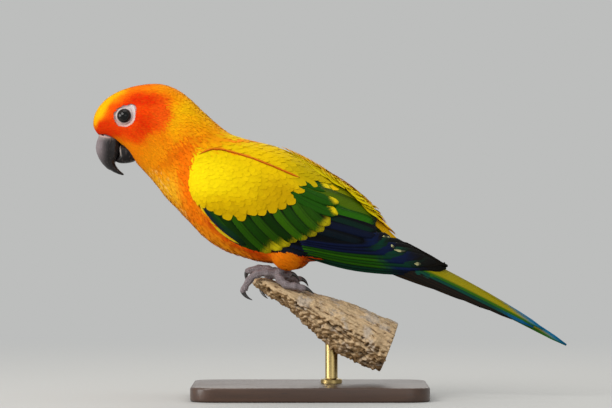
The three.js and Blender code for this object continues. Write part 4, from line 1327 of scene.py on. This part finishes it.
dye = Dye("toe_scales", Roughness=0.6, **{"Specular IOR Level": 0.3})
cells = dye.node("ShaderNodeTexVoronoi", {"feature": "DISTANCE_TO_EDGE"}, {"Vector": dye.mmPlace, "Scale": 1.15})
tone = dye.mix(dye.speckle(1.6, 4.0), linear("74686a"), linear("a3979a"))
tone = dye.mix(dye.soft(cells, 0.10, 0.0) * 0.6, tone, linear("3e3436"))
dye.set(Base_Color=tone)
dye.bump(dye.soft(cells, 0.0, 0.2) + dye.speckle(0.4, 3.0) * 0.3, 0.25, 0.9)
toeDye = dye.material

dye = Dye("claw_horn", Roughness=0.32, **{"Coat Weight": 0.3, "Coat Roughness": 0.2})
dye.set(Base_Color=dye.mix(dye.speckle(1.4, 4.0), linear("0e0c0c"), linear("3a3432")))
dye.bump(dye.speckle(0.5, 3.0, (1, 1, 0.4)), 0.08, 0.5)
clawDye = dye.material

toeNames = ["front_outer", "front_inner", "back_outer", "back_inner"]
clawForm = {"steps": 18, "around": 14, "point": 0.1}


def clawPath(node, toe):  # base, middle and tip of a claw node, and its thickness at the base
    spots = np.array([v.co for v in nodes[node].data.vertices]) / mm
    toeSpots = np.array([v.co for v in nodes[toe].data.vertices]) / mm
    gaps = np.linalg.norm(spots[:, None] - spots[None], axis=2)
    a, b = np.unravel_index(gaps.argmax(), gaps.shape)
    nearA = np.linalg.norm(toeSpots - spots[a], axis=1).min()
    nearB = np.linalg.norm(toeSpots - spots[b], axis=1).min()
    base, tip = (spots[a], spots[b]) if nearA < nearB else (spots[b], spots[a])
    share = (spots - base) @ (tip - base) / ((tip - base) @ (tip - base))
    start = spots[share < 0.22].mean(0)
    middle = spots[(share > 0.3) & (share < 0.75)].mean(0)
    thick = np.linalg.norm(spots[share < 0.22] - start, axis=1).max()
    return start, middle, tip, thick


for label in ("left", "right"):
    fleshy = [f"foot_{label}", f"leg_{label}"] + [f"toe_{label}_{t}" for t in toeNames]
    foot = copyNodes(f"scaly_foot_{label}", fleshy, 0.25)
    places, faces, caps, pads = [], [], [], []
    for toe in toeNames:
        start, middle, tip, thick = clawPath(f"claw_{label}_{toe}", f"toe_{label}_{toe}")
        bend = 2 * middle - (start + tip) / 2
        start = start - (bend - start) * 0.12
        size = min(thick, 1.5)
        pads.append((start, size * 1.12))
        first = len(places)
        for i in range(clawForm["steps"]):
            t = i / (clawForm["steps"] - 1)
            spot = (1 - t) ** 2 * start + 2 * (1 - t) * t * bend + t**2 * tip
            ahead = (1 - t) * (bend - start) + t * (tip - bend)
            ahead /= np.linalg.norm(ahead)
            sideways = np.cross(ahead, (0.0, 0.0, 1.0) if abs(ahead[2]) < 0.9 else (1.0, 0.0, 0.0))
            sideways /= np.linalg.norm(sideways)
            up = np.cross(sideways, ahead)
            radius = size * (1 - t) ** 0.75 * (1 - 0.12 * t) + clawForm["point"]
            for k in range(clawForm["around"]):
                a = 2 * math.pi * k / clawForm["around"]
                places.append(spot + radius * (0.8 * math.cos(a) * sideways + math.sin(a) * up))
        places += [start, tip + ahead * 0.12]
        n = clawForm["around"]
        for i in range(clawForm["steps"] - 1):
            for k in range(n):
                m = (k + 1) % n
                faces.append((first + i * n + k, first + i * n + m, first + (i + 1) * n + m, first + (i + 1) * n + k))
        last = first + (clawForm["steps"] - 1) * n
        for k in range(n):
            m = (k + 1) % n
            caps += [(first + m, first + k, len(places) - 2), (last + k, last + m, len(places) - 1)]
    nails = makeObject(f"nails_{label}", places, faces, clawDye)
    with opened(nails) as shape:
        shape.verts.ensure_lookup_table()
        for cap in caps:
            shape.faces.new([shape.verts[i] for i in cap]).smooth = True
        bmesh.ops.recalc_face_normals(shape, faces=shape.faces)
    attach(nails, "root")
    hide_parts(*[f"claw_{label}_{t}" for t in toeNames])
    with opened(foot) as shape:
        for spot, size in pads:
            at = Matrix.Translation(Vector(spot * mm))
            bmesh.ops.create_uvsphere(shape, u_segments=16, v_segments=10, radius=size * mm, matrix=at)
    melt(foot, 0.34, 7)
    foot.data.materials.append(toeDye)
    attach(foot, "root")
    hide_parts(*fleshy)
print("feet ready")


perchForm = {"voxel": 0.5, "rounds": 2, "relief": 1.2}
branch = copyNodes("branch", ["perch"], 0.0)
melt(branch, perchForm["voxel"], perchForm["rounds"])
spots = pointsOf(branch)
facing = normalsOf(branch)
grainWay = np.array([0.85, 0, -0.53])
along = spots @ grainWay
stretched = spots - np.outer(along, grainWay) * 0.78
crack = np.abs(wobble(stretched, 3.0, 4))
crack2 = np.abs(wobble(stretched, 1.5, 6))
lumps = wobble(spots, 6.0, 5)
under = ease(0.35, -0.3, facing[:, 2])
cut = facing @ np.array([0.93, 0, -0.36]) > 0.85
flakes = ease(0.02, 0.16, wobble(stretched, 5.0, 9)) * ease(-0.2, 0.3, wobble(spots, 7.0, 12))  # raised plates
pits = ease(0.34, 0.5, wobble(spots, 3.4, 15)) * (0.25 + 0.75 * under)
heights = 0.5 * lumps + 0.75 * flakes - 0.9 * ease(0.12, 0.0, crack) * (0.35 + 0.65 * under)
heights -= 0.35 * ease(0.15, 0, crack2)
heights += under * 1.1 * wobble(spots, 2.2, 8) - 1.3 * pits + 0.25 * wobble(spots, 0.9, 10)
standing = np.hypot(spots[:, 0] + 25, spots[:, 1]) < 24  # kept low where the toes hold it
heights = np.where(standing & (facing[:, 2] > -0.2), np.minimum(heights, 0.05) * 0.6, heights)
heights = np.where(cut, 0.1 * lumps - 0.25 * ease(0.1, 0.0, np.abs(wobble(spots, 4.0, 21))), heights)
spots += facing * (heights * perchForm["relief"])[:, None]
setPoints(branch, spots)
dye = Dye("weathered_wood", Roughness=0.9, **{"Specular IOR Level": 0.1})
grainSpace = dye.node("ShaderNodeMapping", {}, {"Vector": dye.mmPlace, "Rotation": (0, math.radians(-32), 0)})
streaks = dye.speckle(1.4, 6.0, (0.12, 1, 1), 0.65, grainSpace)
blotch = dye.speckle(9.0, 4.0)
rough = dye.speckle(1.5, 5.0)
normalPart = dye.node("ShaderNodeNewGeometry", {}, (), "Normal")
lean = dye.node("ShaderNodeVectorMath", {"operation": "DOT_PRODUCT"}, (normalPart, (0.0, 0.0, 1.0)), 1)
tone = dye.mix(streaks, linear("96724c"), linear("e2caa4"))
tone = dye.mix(dye.soft(streaks, 0.46, 0.32), tone, linear("4c341e"))
tone = dye.mix(dye.soft(blotch, 0.50, 0.62) * 0.6, tone, linear("b8aea4"))
hollow = dye.numberOf("hollow")
# darker and browner towards the underside
below = dye.soft(lean + (blotch - 0.5) * 0.8, 0.1, -0.5)
undersideTone = dye.mix(rough, linear("503820"), linear("b48c5a"))
tone = dye.mix(below * 0.8, tone, undersideTone)
bark = dye.soft(lean + (rough - 0.5) * 2.0 + (blotch - 0.5) * 1.5, 0.95, 1.15)
tone = dye.mix(bark * 0.5, tone, linear("8a8078"))
tone = dye.mix(hollow * 0.75, tone, linear("33200f"))
dye.set(Base_Color=tone)
dye.bump(streaks * 1.2 + rough * 0.8, 0.6, 0.9)
branch.data.materials.clear()
branch.data.materials.append(dye.material)
addNumber(branch.data, "hollow", ease(-0.35, -1.1, heights))
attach(branch, "root")
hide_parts("perch")
print("perch ready")


baseForm = {"length": 132, "width": 96, "height": 8, "corner": 14, "edge": 1.2}


def editEdges(thing, wanted):  # into edit mode with these edges selected
    only(thing)
    bpy.ops.object.mode_set(mode="EDIT")
    bpy.ops.mesh.select_mode(type="EDGE")
    bpy.ops.mesh.select_all(action="DESELECT")
    shape = bmesh.from_edit_mesh(thing.data)
    shape.normal_update()
    for edge in shape.edges:
        if wanted(edge):
            edge.select_set(True)
    bmesh.update_edit_mesh(thing.data)


def raisedBy(edge):  # how far one end of an edge lies over the other
    return abs(edge.verts[0].co.z - edge.verts[1].co.z)


bpy.ops.object.select_all(action="DESELECT")
bpy.ops.mesh.primitive_cube_add(size=1, location=(0, 0, baseForm["height"] / 2 * mm))
plinth = bpy.context.object
plinth.name = "wood_base"
plinth.scale = (baseForm["length"] * mm, baseForm["width"] * mm, baseForm["height"] * mm)
bpy.ops.object.transform_apply(location=True, rotation=True, scale=True)
editEdges(plinth, lambda edge: raisedBy(edge) > 4 * mm)
bpy.ops.mesh.bevel(offset=baseForm["corner"] * mm, segments=14, affect="EDGES", profile=0.5)
bpy.ops.object.mode_set(mode="OBJECT")
editEdges(
    plinth,
    lambda edge: raisedBy(edge) < 0.1 * mm and len(edge.link_faces) == 2
    and abs(edge.link_faces[0].normal.z - edge.link_faces[1].normal.z) > 0.5,
)
bpy.ops.mesh.bevel(offset=baseForm["edge"] * mm, segments=4, affect="EDGES", profile=0.5)
bpy.ops.object.mode_set(mode="OBJECT")
only(plinth)
bpy.ops.object.shade_smooth_by_angle(angle=math.radians(30))
dye = Dye("dark_walnut", **{"Coat Weight": 0.35, "Coat Roughness": 0.25})
rings = dye.speckle(2.4, 6.0, (0.07, 1, 1), 0.6)
pores = dye.speckle(0.5, 3.0, (0.06, 1, 1))
broad = dye.speckle(14.0, 3.0, (0.2, 1, 1))
tone = dye.mix(rings, linear("24150d"), linear("573824"))
tone = dye.mix(dye.soft(broad, 0.4, 0.65) * 0.5, tone, linear("3a2416"))
tone = dye.mix(dye.soft(pores, 0.62, 0.7) * 0.6, tone, linear("120a06"))
dye.set(Base_Color=tone, Roughness=dye.soft(rings, 0.3, 0.7, 0.38, 0.5))
dye.bump(pores + rings * 0.5, 0.08, 0.4)
plinth.data.materials.append(dye.material)
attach(plinth, "root")
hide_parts("stand_base")

rodForm = {  # each step is how much narrower and how much higher, in mm
    "x": 12, "foot": 6, "low": 8.3, "flange": 1.9, "top": 40,
    "steps": [(0.4, 0.4), (1.2, 0.2), (0.7, 0.3), (0.2, 0.7)],
}
dye = Dye("brushed_brass", Metallic=1.0)
turned = dye.speckle(0.6, 4.0, (0.1, 0.1, 4.0))
dye.set(Base_Color=dye.mix(turned, linear("a88f56"), linear("c9b27c")), Roughness=dye.soft(turned, 0.3, 0.7, 0.24, 0.4))
dye.bump(turned, 0.03, 0.4)
brassDye = dye.material
bpy.ops.object.select_all(action="DESELECT")
bpy.ops.mesh.primitive_cylinder_add(
    vertices=48, radius=rodForm["foot"] * mm, depth=rodForm["flange"] * mm,
    location=(rodForm["x"] * mm, 0, (rodForm["low"] + rodForm["flange"] / 2) * mm),
)
post = bpy.context.object
post.name = "brass_rod"
bpy.ops.object.transform_apply(location=True, rotation=True, scale=True)
bpy.ops.object.mode_set(mode="EDIT")
bpy.ops.mesh.select_mode(type="FACE")
bpy.ops.mesh.select_all(action="DESELECT")
shape = bmesh.from_edit_mesh(post.data)
max(shape.faces, key=lambda face: face.calc_center_median().z).select_set(True)
bmesh.update_edit_mesh(post.data)
risen = rodForm["low"] + rodForm["flange"]
for narrower, higher in rodForm["steps"]:
    bpy.ops.mesh.inset(thickness=narrower * mm)
    bpy.ops.transform.translate(value=(0, 0, higher * mm))
    risen += higher
bpy.ops.mesh.extrude_region_move(TRANSFORM_OT_translate={"value": (0, 0, (rodForm["top"] - risen) * mm)})
bpy.ops.object.mode_set(mode="OBJECT")
post.data.materials.clear()
post.data.materials.append(brassDye)
only(post)
bpy.ops.object.shade_smooth_by_angle(angle=math.radians(35))
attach(post, "root")
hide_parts("stand_rod")
print("stand ready")

for node in nodes.values():
    node.data.materials.clear()
    node.data.materials.append(skinDye)
total = sum(len(o.data.polygons) for o in scene.objects if o.type == "MESH")
print("faces in all", total)
